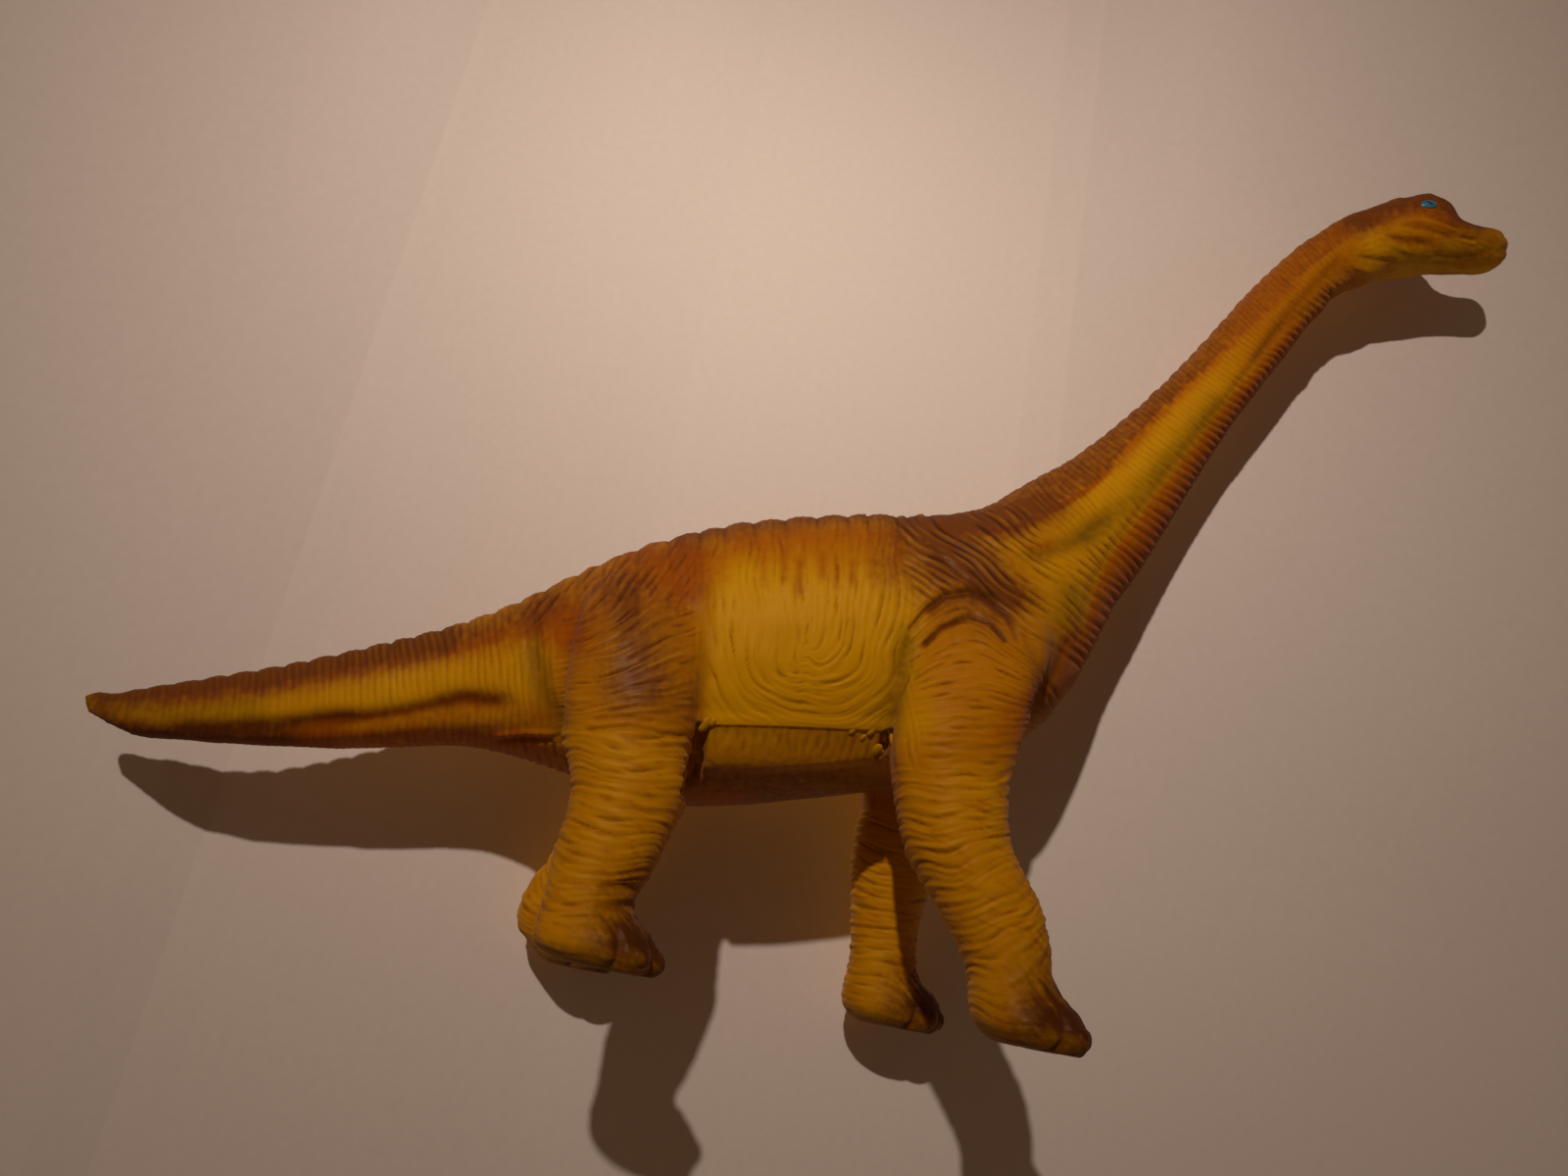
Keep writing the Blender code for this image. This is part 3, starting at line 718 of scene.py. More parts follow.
SPRAYS: dict[str, tuple[Spray, ...]] = {
    "brown": (
        Spray(((-146.3, 35.4), (-129.8, 40.3), (-116.8, 44.3), (-106.0, 49.4), (-93.1, 54.9),
               (-83.9, 59.3)), 3.0, 1.0),
        Spray(((-83.9, 59.3), (-74.5, 63.6), (-63.6, 70.7)), 2.8, 0.55),
        Spray(((-63.9, 72.5), (-56.5, 77.8), (-47.2, 84.3), (-37.3, 89.1)), 4.4, 0.36),
        Spray(((-48.5, 76.0), (-45.1, 71.1), (-43.9, 63.9), (-41.1, 56.4)), 4.6, 0.7),
        Spray(((-52.0, 66.0), (-47.0, 58.0)), 5.0, 0.25),
        Spray(((-37.5, 76.7), (-34.8, 64.0)), 4.6, 0.35),
        Spray(((-37.0, 57.0), (-30.0, 56.0)), 3.4, 0.45),
        Spray(((-40.1, 91.8), (-27.8, 96.7), (-17.4, 100.3), (-6.8, 103.3), (3.9, 105.6),
               (14.8, 107.2)), 1.9, 0.7),
        Spray(((14.0, 103.8), (21.1, 100.0), (28.5, 95.5), (33.3, 91.8)), 5.2, 1.0),
        Spray(((14.4, 107.5), (24.6, 108.5), (32.6, 111.5), (40.0, 116.5)), 4.2, 1.0),
        Spray(((8.7, 95.1), (16.0, 92.0), (25.5, 87.4)), 5.0, 0.4),
        Spray(((98.0, 200.0), (106.0, 207.4), (112.5, 212.0)), 2.6, 0.5),
        Spray(((111.0, 211.0), (118.0, 217.0), (124.0, 221.8), (130.0, 224.3), (135.0, 223.0),
               (138.5, 219.3), (142.5, 216.8)), 3.4, 0.95),
        Spray(((125.8, 218.0), (127.6, 221.4), (130.6, 222.6)), 1.2, 0.5),
        Spray(((123.5, 219.0), (130.0, 221.0), (136.5, 219.0)), 2.6, 0.65),
    ),
    "ember": (
        Spray(((-75.0, 61.0), (-60.0, 70.0), (-50.0, 78.0), (-38.0, 86.0)), 5.0, 0.5),
        Spray(((-36.4, 87.4), (-35.8, 80.1)), 3.2, 0.95),
        Spray(((-62.5, 67.5), (-57.5, 64.8)), 3.6, 0.9),
        Spray(((-47.0, 86.0), (-37.0, 84.0)), 4.0, 0.6),
        Spray(((-138.0, 35.9), (-119.4, 41.0), (-104.8, 46.6), (-82.7, 56.4), (-66.2, 65.6)), 1.6,
               0.75),
        Spray(((-20.9, 92.4), (-19.1, 83.3)), 0.9, 0.45),
        Spray(((-16.5, 93.9), (-14.8, 85.4)), 0.9, 0.6),
        Spray(((-12.7, 92.7), (-11.2, 83.1)), 0.9, 0.7),
        Spray(((-8.1, 95.1), (-6.6, 87.4)), 1.0, 0.6),
        Spray(((-4.6, 93.1), (-3.4, 85.9)), 0.8, 0.55),
        Spray(((-1.2, 94.9), (-0.1, 87.2)), 0.9, 0.6),
        Spray(((3.2, 96.5), (4.4, 88.2)), 1.1, 0.55),
        Spray(((8.2, 98.5), (8.8, 89.2)), 1.8, 0.5),
        Spray(((-29.7, 90.4), (-28.0, 82.7)), 1.5, 0.4),
        Spray(((-27.2, 93.5), (-10.5, 98.0), (6.7, 101.5)), 2.4, 0.6),
        Spray(((27.0, 105.9), (33.7, 108.5), (41.2, 114.1), (48.7, 120.9), (54.5, 128.4)), 0.8,
               1.0),
        Spray(((54.0, 127.8), (63.5, 143.0), (80.8, 168.0), (98.0, 191.0)), 1.5, 0.7),
        Spray(((51.5, 84.0), (49.5, 74.0)), 2.4, 0.6),
        Spray(((-92.0, 38.5), (-80.0, 42.5), (-68.0, 47.0), (-58.0, 47.0)), 1.9, 0.45),
        Spray(((-104.0, 34.0), (-92.0, 35.6), (-76.0, 39.0), (-62.0, 42.0)), 2.4, 0.85),
        Spray(((114.5, 211.3), (123.5, 217.3), (130.0, 217.4), (137.5, 216.8)), 2.2, 0.7),
        Spray(((124.0, 212.6), (132.0, 212.6), (139.0, 211.4)), 1.6, 0.4),
        Spray(((-66.8, 39.0), (-58.6, 38.5), (-50.8, 37.5)), 3.2, 0.6),
        Spray(((-27.0, 36.2), (-19.0, 36.6), (-13.0, 38.4)), 1.4, 0.85),
        Spray(CHEEK, 2.4, 0.45),
        Spray(((108.5, 189.5), (114.0, 193.0), (119.0, 196.0)), 2.2, 0.5),
        Spray(((36.6, 103.6), (43.5, 107.6)), 1.2, 0.5),
        Spray(((38.0, 62.0), (44.0, 72.0), (50.0, 86.0)), 3.4, 0.5),
    ),
    # the umber strokes that follow grooves are painted shade in those grooves; the rest is the
    # underside's red-brown
    "umber": (
        Spray(((-145.0, 28.0), (-129.8, 28.2), (-116.3, 30.0), (-101.1, 33.0)), 2.2, 1.0),
        Spray(((-103.0, 32.0), (-84.1, 35.4), (-68.7, 38.6)), 0.8, 0.12),
        Spray(((-152.0, 34.5), (-147.0, 33.0)), 2.8, 0.35),
        Spray(TAIL_SHADE, 1.6, 0.75),
        Spray(((-104.0, 37.3), (-93.4, 40.2), (-86.3, 42.8), (-80.8, 45.4), (-76.2, 47.5),
               (-68.0, 48.2)), 1.0, 0.75),
        Spray(((-82.0, 44.8), (-75.0, 48.2), (-66.0, 48.8)), 1.7, 0.5),
        Spray(((-66.0, 37.5), (-58.6, 36.5), (-50.8, 36.0)), 2.4, 0.35),
        Spray(((16.5, 84.7), (20.3, 88.9), (25.1, 90.8), (30.0, 90.4), (34.2, 87.5)), 0.7, 0.95),
        Spray(LOW_ARCH, 0.6, 0.8),
        Spray(((-26.0, 37.0), (-13.0, 39.0)), 1.0, -0.6),
        Spray(NECK_BULGE, 1.5, 0.3),
        Spray(CHEEK, 1.3, 0.5),
        Spray(NOSTRIL, 0.6, 0.6),
        Spray(((130.0, 216.2), (138.0, 214.0)), 0.6, 0.4),
        Spray(((123.0, 211.9), (130.0, 211.9), (136.5, 210.6)), 0.8, 0.3),
        Spray(((112.0, 198.9), (117.0, 198.7), (123.0, 200.5)), 1.2, 0.2),
        Spray(((124.0, 197.8), (131.0, 199.2), (139.0, 200.4), (147.0, 203.6)), 1.3, 0.12),
        Spray(((131.0, 202.9), (138.0, 204.6), (144.8, 207.2), (147.2, 211.5)), 1.5, 0.3),
        Spray(((150.6, 213.0), (150.3, 207.5)), 1.0, 0.5),
        Spray(((107.5, 188.0), (110.5, 190.8), (115.0, 192.6)), 1.2, 0.3),
        Spray(((40.0, 66.0), (44.0, 74.0), (48.6, 84.0)), 1.6, 0.5),
    ),
    # the olive strokes along the neck's hollow and shade line, the arm line and the thigh's back
    # are painted shade
    "olive": (
        Spray(((-150.0, 33.5), (-138.0, 33.0), (-118.0, 36.8)), 3.2, 0.35),
        Spray(NECK_HOLLOW, 1.5, 0.4),
        Spray(NECK_SHADE, 2.2, 0.45),
        Spray(ARM_LINE, 2.4, 0.45),
        Spray(THIGH_BACK, 2.2, 0.5),
        Spray(((48.0, 96.0), (47.0, 84.0), (45.0, 68.0)), 2.6, 0.5),
        Spray(((124.0, 203.5), (133.0, 206.0), (142.0, 208.0), (147.0, 210.5)), 3.0, 0.34),
        Spray(((137.5, 214.5), (146.0, 214.5)), 2.2, 0.2),
        Spray(((139.0, 210.3), (142.0, 210.2)), 0.6, -0.9),
    ),
}


@dataclass(frozen=True)
class HumpRow:
    """A stretch of the back with evenly spaced humps.

    Attributes:
        name: What the stretch is called.
        start: Run along the spine of its first hump, in mm.
        spacing: Distance from one hump to the next, in mm.
        count: How many there are.
        rise: Height from the notches to the crests, in mm.
        bluntness: Power of the cosine that a hump follows.
        base: Share of the rise that lies under the smooth back.
        notch: Height of the arch below which the notch is darkened with painted shade.
        notch_gain: How much darker that painted shade is in a higher row's notches.
    """

    bluntness: ClassVar[float] = 0.7
    base: ClassVar[float] = 0.45
    notch: ClassVar[float] = 0.35
    notch_gain: ClassVar[float] = 1.2

    name: str
    start: float
    spacing: float
    count: int
    rise: float

    def crests(self) -> np.ndarray:
        """Runs of the humps' crests, in mm."""
        return self.start + self.spacing * np.arange(self.count)


HUMPS: tuple[HumpRow, ...] = (
    HumpRow("tail", 8.0, 5.5, 18, 0.62),
    HumpRow("back", 107.7, 6.8, 13, 0.75),
    HumpRow("neck", 193.5, 3.8, 37, 0.22),
)


@dataclass(frozen=True)
class Patch:
    """A soft-edged part of the flank.

    Attributes:
        a: Its reach along the flank's slope, in mm.
        b: Its reach across the slope, in mm.
        soft: Half width of its edge, in mm.
        stray: How far the edge wanders, in mm.
    """

    stray: ClassVar[float] = 2.0

    a: tuple[float, float]
    b: tuple[float, float]
    soft: float


PATCHES: dict[str, Patch] = {
    "rump": Patch((-60, -24), (6, 40), 4),
    "thigh": Patch((-52, -22.6), (-30, 12), 2.5),
    "shoulder": Patch((20, 56), (3, 34), 4),
    "arm": Patch((23.5, 50), (-60, 12), 2),
    "flank": Patch((-21.5, 22.5), (-17, 30), 3.2),
    "bright": Patch((-21, 26), (-18, 22), 5),
}

FOLDS: dict[str, Folds] = {
    "ribs": Folds(1.5, 8.0, 0.2, 0.3, 0.75, 11),
    "throat": Folds(2.1, 12.0, 0.4, 0.35, 0.8, 13),
    "rump": Folds(1.7, 11.0, 0.3, 0.6, 0.4, 21),
    "thigh": Folds(2.3, 12.0, 0.54, 0.6, 0.5, 31),
    "thigh_fine": Folds(1.35, 7.0, 0.4, 0.6, 0.4, 35),
    "shoulder": Folds(1.75, 12.0, 0.42, 0.6, 0.5, 41),
    "arm": Folds(2.15, 11.0, 0.44, 0.6, 0.55, 51),
    "arm_fine": Folds(1.3, 7.0, 0.4, 0.6, 0.4, 55),
    "flank": Folds(1.9, 16.0, 0.3, 0.5, 0.65, 61),
    "flank_broad": Folds(2.9, 20.0, 0.6, 0.6, 0.65, 65),
    "flank_fine": Folds(1.1, 8.0, 0.34, 0.8, 0.3, 67),
    "plate_ribs": Folds(1.7, 6.0, 0.3, 0.6, 0.45, 93),
    "plate_bands": Folds(2.0, 9.0, 0.35, 0.4, 0.7, 97),
    "head": Folds(1.5, 3.0, 0.08, 0.8, 0.1, 95),
}

# rings of the legs: their share over what lies there already, and their folds
RINGS: tuple[tuple[float, Folds], ...] = (
    (1.0, Folds(2.2, 11.0, 0.44, 0.55, 0.55, 71)),
    (0.45, Folds(1.2, 11.0, 0.44, 0.55, 0.55, 73)),
)


@dataclass
class Relief:
    """The folds worked out so far.

    Attributes:
        height: 0 at the bottom of a crease, 1 on a crest.
        depth: Depth of the creases, in mm.
    """

    height: np.ndarray
    depth: np.ndarray

    def lay(self, on: np.ndarray, share: np.ndarray, height: np.ndarray,
            depth: np.ndarray | float) -> None:
        """Lays more folds over these.

        Args:
            on: Which points they reach.
            share: Their share there, from 0 to 1.
            height: Their height there.
            depth: Their depth there, in mm.
        """
        self.height[on] = blend(self.height[on], height, share)
        self.depth[on] = blend(self.depth[on], depth, share)


class Masks(dict):
    """Masks of the paints, from 0 to 1, by name."""

    def deepen(self, name: str, cover: np.ndarray) -> None:
        """Gives a paint at least this much cover."""
        self[name] = np.maximum(self[name], cover)


class Sculptor:
    """Puts folds, forms and paint masks on the skin.

    Attributes:
        slope: Slope of the flank's own directions.
        swirl: Middle of the flank's swirl in the side view, in mm.
        neck_run: Runs along the spine between which the neck's paint sets in, in mm.
        arm: Place of the foreleg's middle along the flank's slope, in mm.
        least: Share below which folds and leg rings are left out.
        ankle: Height of the ankles, in mm.
        neck_cover: Cover of the neck's upper paints, at its root and at its top.
        reach: Distance beyond which a stroke is left out, in its half widths.
        tapered: Half width below which a stroke's ends taper, in mm.
    """

    slope: ClassVar[float] = math.radians(11)
    swirl: ClassVar[tuple[float, float]] = (-7.9, 69.2)
    neck_run: ClassVar[tuple[float, float]] = (190.0, 204.0)
    arm: ClassVar[float] = 35.8
    least: ClassVar[float] = 0.003
    ankle: ClassVar[float] = 16.0
    neck_cover: ClassVar[dict[str, tuple[float, float]]] = {
        "brown": (0.68, 0.36), "ember": (0.4, 0.65),
    }
    reach: ClassVar[float] = 2.4
    tapered: ClassVar[float] = 2.5

    def __init__(self, mesh: bpy.types.Mesh) -> None:
        """Reads the skin.

        Args:
            mesh: The smooth skin.
        """
        self.mesh = mesh
        self.points = numbers(mesh.vertices, "co", 3) / MM
        self.normals = numbers(mesh.vertex_normals, "vector", 3)
        self.x, self.y, self.z = self.points.T
        self.u, self.v = SideView.of(self.points)
        du, dv = self.u - self.swirl[0], self.v - self.swirl[1]
        c, s = math.cos(self.slope), math.sin(self.slope)
        self.a = (du * c + dv * s).astype(np.float32)
        self.b = (-du * s + dv * c).astype(np.float32)
        self.spine = follow(SPINE, self.u, self.v)
        self.parting = Parting()
        self.seams = Seams()
        self.over = self.z - self.parting.level(self.x)
        self.broad = between(self.x, self.seams.broad_back, self.seams.broad_front,
                             self.seams.soft)
        self.leg = self._leg_share()
        self.plate = self._plate_share()
        self.outward = self.normals[:, 1] * np.sign(self.y) > -0.15
        self.drift = GradientNoise(5).at(self.u / 11, self.v / 11, self.y / 11)

    def _leg_share(self) -> np.ndarray:
        """Tells the legs from the body.

        Returns:
            1 on the legs, 0 on the body.
        """
        below = smoothstep(self.z - self.parting.joint_level(self.x), 4, -2)
        out = smoothstep(np.abs(self.y), 10.5, 12.5)
        out = out * (1 - self.broad * smoothstep(self.z, 30, 33))
        return below * np.maximum(out, smoothstep(self.z, 33, 29))

    def _plate_share(self) -> np.ndarray:
        """Tells the belly plate from the rest.

        Returns:
            1 on the plate, 0 elsewhere.
        """
        seams = self.seams
        narrow = smoothstep(np.abs(self.y), seams.narrow + seams.soft, seams.narrow - seams.soft)
        ends = between(self.x, seams.plate_back, seams.plate_front, seams.soft)
        below = smoothstep(self.over, 0.15, -0.15)
        inside = np.maximum(self.broad, narrow) * ends * below
        return inside * smoothstep(self.z, seams.floor, seams.floor + 0.5)

    def window(self, name: str) -> np.ndarray:
        """Reads a patch.

        Args:
            name: Its name.

        Returns:
            1 inside, 0 outside.
        """
        patch = PATCHES[name]
        stray, soft = patch.stray * self.drift, patch.soft
        inside = 1.0
        for place, (low, high) in ((self.a + stray, patch.a), (self.b + stray, patch.b)):
            inside = inside * smoothstep(place, low - soft, low + soft)
            inside = inside * smoothstep(place, high + soft, high - soft)
        return inside

    def stroke(self, path: Path, width: float,
               right_only: bool = False) -> tuple[np.ndarray, np.ndarray]:
        """Finds the points near a path.

        Args:
            path: The path, in mm.
            width: Half width at which it fades to a third, in mm.
            right_only: Leaves the left side out.

        Returns:
            The numbers of the points, and the stroke's share at each.
        """
        corners = np.array(path)
        low, high = corners.min(0) - self.reach * width, corners.max(0) + self.reach * width
        on = (self.u > low[0]) & (self.u < high[0]) & (self.v > low[1]) & (self.v < high[1])
        on &= self.outward
        if right_only:
            on &= self.y < 0
        on = np.flatnonzero(on)
        found = follow(path, self.u[on], self.v[on])
        share = bell(found.distance, width)
        if width < self.tapered:
            length = sum(math.dist(*pair) for pair in zip(path, path[1:]))
            reach = min(0.4 * length, 3 * width)
            share *= smoothstep(found.run, -0.4 * reach, 0.6 * reach)
            share *= smoothstep(length - found.run, -0.4 * reach, 0.6 * reach)
        return on, share

    def sculpt(self) -> None:
        """Moves the skin and writes the masks."""
        relief = self._relief()
        offset = -(1 - relief.height) * relief.depth
        # hollow gathers the grooves, toe grooves, pockets and notches, painted as shade through
        # the crease mask
        hollow = np.zeros_like(offset)
        for form in FORMS:
            on, share = self.stroke(form.path, form.width, form.right_only)
            offset[on] += form.rise * share
            hollow[on] = np.maximum(hollow[on], share * min(1.0, max(0.0, -form.rise * 1.4)))
        for step, groove in (self._toes(), self._seam_steps(), self._humps()):
            offset += step
            hollow = np.maximum(hollow, groove)
        points = self.points + self.normals * offset[:, None]
        points[:, 2] = np.maximum(points[:, 2], 0)
        self.points = points
        self.mesh.vertices.foreach_set("co", (points * MM).astype(np.float32).ravel())
        # painted shade: the crease mask darkens the bottoms of the creases and the hollows
        crease = smoothstep(relief.height, 0.42, 0.05) * np.clip(relief.depth / 0.36, 0.15, 1.1)
        write_layer(self.mesh, "crease", np.maximum(crease, 0.7 * hollow))
        # painted highlight: the crest mask pales the fold crests; it also wears their brown
        crest = smoothstep(relief.height, 0.62, 0.97) * np.clip(relief.depth / 0.3, 0, 1)
        write_layer(self.mesh, "crest", crest)
        for name, mask in self._paint().items():
            write_layer(self.mesh, name, mask)
        self.mesh.update()

    def _humps(self) -> tuple[np.ndarray, np.ndarray]:
        """Shapes the row of humps over the tail, the back and the neck.

        Returns:
            Offsets along the normals, in mm, and the share of the notches between the
            humps, which gets painted shade.
        """
        run = self.spine.run
        steps = np.diff(np.array(SPINE), axis=0)
        lengths = np.hypot(*steps.T)
        middles = np.cumsum(lengths) - lengths / 2
        lean = np.interp(run, middles, np.arctan2(steps[:, 1], steps[:, 0]))
        up = self.normals[:, 2] * np.cos(lean) - self.normals[:, 0] * np.sin(lean)
        top = smoothstep(up, 0.3, 0.85) * blend(0.35, 1.0, smoothstep(run, 4, 40))
        offset, notch = np.zeros_like(run), np.zeros_like(run)
        for row in HUMPS:
            phase = (run - row.start) / row.spacing
            on = (phase > -0.5) & (phase < row.count - 0.5)
            arch = np.abs(np.cos(math.pi * phase[on]))
            offset[on] = row.rise * (arch**row.bluntness - row.base) * top[on]
            gain = min(1.0, row.notch_gain * row.rise)
            notch[on] = smoothstep(arch, row.notch, 0.0) * top[on] * gain
        return offset, notch

    def _seam_steps(self) -> tuple[np.ndarray, np.ndarray]:
        """Shapes the skin beside the seams.

        Returns:
            Offsets along the normals, in mm, and the share of the pockets at the plate's ends,
            which gets painted shade.
        """
        over, seams = self.over, self.seams
        flank = self.broad * smoothstep(np.abs(self.y), 13, 17)
        lip = smoothstep(over, -0.1, 0.1) * smoothstep(over, 2.4, 0.9) * flank
        inset = smoothstep(over, 0.0, -0.5) * flank * smoothstep(self.z, 31, 33)
        bulge = bell(over + seams.bulge_drop, seams.bulge_width) * flank
        ends = np.maximum(
            smoothstep(self.x, *(seams.broad_back + step for step in seams.pocket_back)),
            smoothstep(self.x, *(seams.broad_front - step for step in seams.pocket_front)),
        )
        pocket = ends * inset
        offset = (seams.lip * lip - seams.inset * inset + seams.bulge * bulge * (1 - ends)
                  - seams.pocket * pocket)
        return offset, 1.4 * pocket

    def _lay(self, relief: Relief, share: np.ndarray, name: str, across: np.ndarray,
             along: np.ndarray, depth: np.ndarray | None = None) -> None:
        """Lays one set of folds over the relief so far.

        Args:
            relief: The relief, which is changed.
            share: Where the folds lie, from 0 to 1.
            name: The folds.
            across: Place across the creases, in mm.
            along: Place along the creases, in mm.
            depth: Depth at each point, in mm, if it isn't the folds' own.
        """
        on = np.flatnonzero(share > self.least)
        height = FOLDS[name].height(across[on], along[on], self.y[on])
        relief.lay(on, share[on], height, FOLDS[name].depth if depth is None else depth[on])

    def _relief(self) -> Relief:
        """Works out the folds of the whole figure.

        Returns:
            The relief and its depth.
        """
        relief = Relief(*(np.full_like(self.a, start) for start in (0.8, 0.1)))
        self._lay_ribs(relief)
        self._lay_rear(relief)
        self._lay_front(relief)
        self._lay_flank(relief)
        self._lay_pebbles(relief)
        self._lay_rings(relief)
        self._lay(relief, smoothstep(self.u, 104, 114), "head", self.v, self.u)
        relief.depth *= 1 - 0.75 * bell(self.over, 1.3) * self.broad
        return relief

    def _lay_ribs(self, relief: Relief) -> None:
        """Lays the ribs round the body and the deeper ones under the throat.

        Args:
            relief: The relief so far, which is changed.
        """
        run, off = self.spine.run, self.spine.side
        tail = smoothstep(self.u, -62, -70)
        mid_tail = smoothstep(self.u, -112, -95) * smoothstep(self.u, -58, -68)
        depth = 0.15 - 0.05 * tail + 0.08 * mid_tail
        self._lay(relief, np.ones(run.shape, np.float32), "ribs", run + 0.5 * self.drift, off,
                  depth)
        low = smoothstep(off, -2, -6) * smoothstep(run, 174, 192)
        self._lay(relief, low, "throat", run + 0.4 * self.drift, off)

    def _lay_rear(self, relief: Relief) -> None:
        """Lays the folds of the rump and the thigh.

        Args:
            relief: The relief so far, which is changed.
        """
        a, b = self.a, self.b
        self._lay(relief, self.window("rump"), "rump", a * 0.84 - b * 0.54, a * 0.54 + b * 0.84)
        thigh = self.window("thigh")
        lean = np.tan(np.radians(blend(3, 28, smoothstep(b, -16, 6))))
        wave = 0.9 * np.sin((a + 22) / 5.5) + 1.6 * self.drift
        across = b - lean * (a + 22)
        self._lay(relief, thigh, "thigh", across + wave, a)
        self._lay(relief, 0.4 * thigh, "thigh_fine", across + 1.4 * wave, a)

    def _lay_front(self, relief: Relief) -> None:
        """Lays the folds of the shoulder and those that arch over the foreleg.

        Args:
            relief: The relief so far, which is changed.
        """
        a, b = self.a, self.b
        self._lay(relief, self.window("shoulder"), "shoulder",
                  a * 0.62 + b * 0.78 + 1.2 * self.drift, a * 0.78 - b * 0.62)
        off_arm = a - self.arm
        bow = np.where(off_arm < 0, 0.05, 0.075) * smoothstep(b, -18, 9)
        across = b + bow * off_arm**2 + 0.8 * self.drift
        arm = self.window("arm") * smoothstep(across, 18.5, 16.5)
        self._lay(relief, arm, "arm", across, a)
        self._lay(relief, 0.4 * arm, "arm_fine", across + 0.3, a)

    def _lay_flank(self, relief: Relief) -> None:
        """Lays the folds that hang down the flank and turn into a swirl.

        Args:
            relief: The relief so far, which is changed.
        """
        a, b = self.a, self.b
        flank = self.window("flank")
        turn = np.arctan2(a, -b)
        swirl = 4.2 * np.clip(turn, 0, math.pi) * smoothstep(np.hypot(a, b), 0, 4)
        ring = np.where(b < 0, np.hypot(a, 1.2 * b), np.abs(a)) - swirl + 1.5 * self.drift
        along = np.where(b < 0, turn * 10, np.sign(a) * (15.7 + b))
        fine = blend(0.26, 0.4, smoothstep(b, 12, -2))
        self._lay(relief, flank, "flank", ring, along, fine)
        deep = blend(0.35, 0.62, smoothstep(b, 4, -8))
        self._lay(relief, 0.66 * (flank * smoothstep(b, 9, -2)), "flank_broad", ring, along, deep)
        self._lay(relief, 0.36 * flank, "flank_fine", ring + 0.7 * self.drift, along, fine)

    def _lay_pebbles(self, relief: Relief) -> None:
        """Gives the belly plate its pebbly skin.

        Args:
            relief: The relief so far, which is changed.
        """
        on = np.flatnonzero(self.plate > self.least)
        x, y, z = self.points[on].T
        pebbles = GradientNoise(91).at(x / 1.1, y / 1.4, z / 1.1)
        over = z - self.parting.level(x)
        strip = smoothstep(over, -5.5, -3.0) * smoothstep(np.abs(y), 14, 18)
        height = blend(0.8 + 0.4 * pebbles, FOLDS["plate_ribs"].height(x, z, y), strip)
        end = smoothstep(x, -42, -50)
        bands = FOLDS["plate_bands"]
        depth = blend(0.1, 0.24, smoothstep(over, -8, -5))
        relief.lay(on, self.plate[on], blend(height, bands.height(x + 0.3 * z, y, z), end),
                   blend(depth, bands.depth, end))

    def _lay_rings(self, relief: Relief) -> None:
        """Lays the rings round the four legs.

        Args:
            relief: The relief so far, which is changed.
        """
        for number, leg in enumerate(LEGS):
            on = np.flatnonzero(self.own(leg) & (self.leg > self.least))
            run, ahead, beside = LegLine(leg.value).place(self.points[on])
            bow = 0.02 * beside**2 + 1.3 * self.drift[on]
            edge = np.abs(self.normals[on, 0])
            foot = smoothstep(self.z[on], 2, 11)
            for share, rings in RINGS:
                height = replace(rings, seed=rings.seed + 4 * number).height(
                    run + bow, ahead, beside)
                depth = blend(0.2, rings.depth + 0.25 * edge, foot)
                relief.lay(on, share * self.leg[on], height, depth)

    def _toes(self) -> tuple[np.ndarray, np.ndarray]:
        """Shapes three toes on each foot.

        Returns:
            Offsets along the normals, in mm, and the share of the grooves between the toes,
            which gets painted shade.
        """
        offset = np.zeros(self.x.shape, np.float32)
        groove = np.zeros(self.x.shape, np.float32)
        for leg in LEGS:
            on = np.flatnonzero(self.own(leg) & (self.z < 13) & (self.leg > 0.5))
            foot, low = Foot.of(leg), self.z[on]
            turn, away = foot.turn(self.x[on], self.y[on])
            held = smoothstep(away, 6, 9) * smoothstep(low, 9.5, 3.5)
            held = held * smoothstep(np.abs(turn), 88, 76)
            for angle in foot.grooves:
                share = bell(turn - angle, foot.groove_width) * held
                groove[on] = np.maximum(groove[on], share)
            for angle in foot.nails:
                nail = foot.nail_rise * bell(turn - angle, foot.nail_width)
                offset[on] += nail * held * smoothstep(low, 7, 3)
            offset[on] -= foot.groove_depth * groove[on]
        return offset, groove

    def own(self, leg: Mouldings) -> np.ndarray:
        """Which points lie on a leg's quarter of the figure."""
        return ((self.x < self.parting.middle) == leg.hind) & ((self.y < 0) == leg.right)

    def _paint(self) -> Masks:
        """Works out where each paint was sprayed.

        Returns:
            The masks.
        """
        u, run = self.u, self.spine.run
        fleck = GradientNoise(302).at(u / 1.7, self.v / 1.7, self.y / 1.7)
        streak = GradientNoise(303).at(run / 0.9, self.spine.side / 6, self.y / 6)
        masks = self._sprayed()
        head = smoothstep(u, 108, 117)
        neck = smoothstep(run, *self.neck_run) * (1 - head)
        self._paint_neck(masks, neck, head, fleck, streak)
        plate = blend(0.25, 0.64, smoothstep(self.over + 0.5 * fleck, -4.8, -7.4))
        plate = blend(plate, np.full_like(plate, 0.35), smoothstep(self.x, -38, -50))
        masks.deepen("umber", self.plate * plate)
        ragged, body = 0.8 + 0.2 * streak + 0.3 * fleck, 1 - self.leg
        for name, mask in masks.items():
            masks[name] = np.clip(mask * (ragged + 0.45 * mask), 0, 1) * body
        masks["sun"] = self._brightness(masks, neck, head)
        masks["toe"] = self._paint_legs(masks, fleck)
        return masks

    def _sprayed(self) -> Masks:
        """Lays the passes of the airbrush over one another.

        Returns:
            A mask for each paint.
        """
        masks = Masks()
        for paint, sprays in SPRAYS.items():
            mask = np.zeros(self.u.shape, np.float32)
            for spray in sprays:
                on, share = self.stroke(spray.path, spray.fade * spray.width)
                mask[on] = 1 - (1 - mask[on]) * (1 - spray.strength * share)
            masks[paint] = np.clip(mask, 0, 1)
        return masks

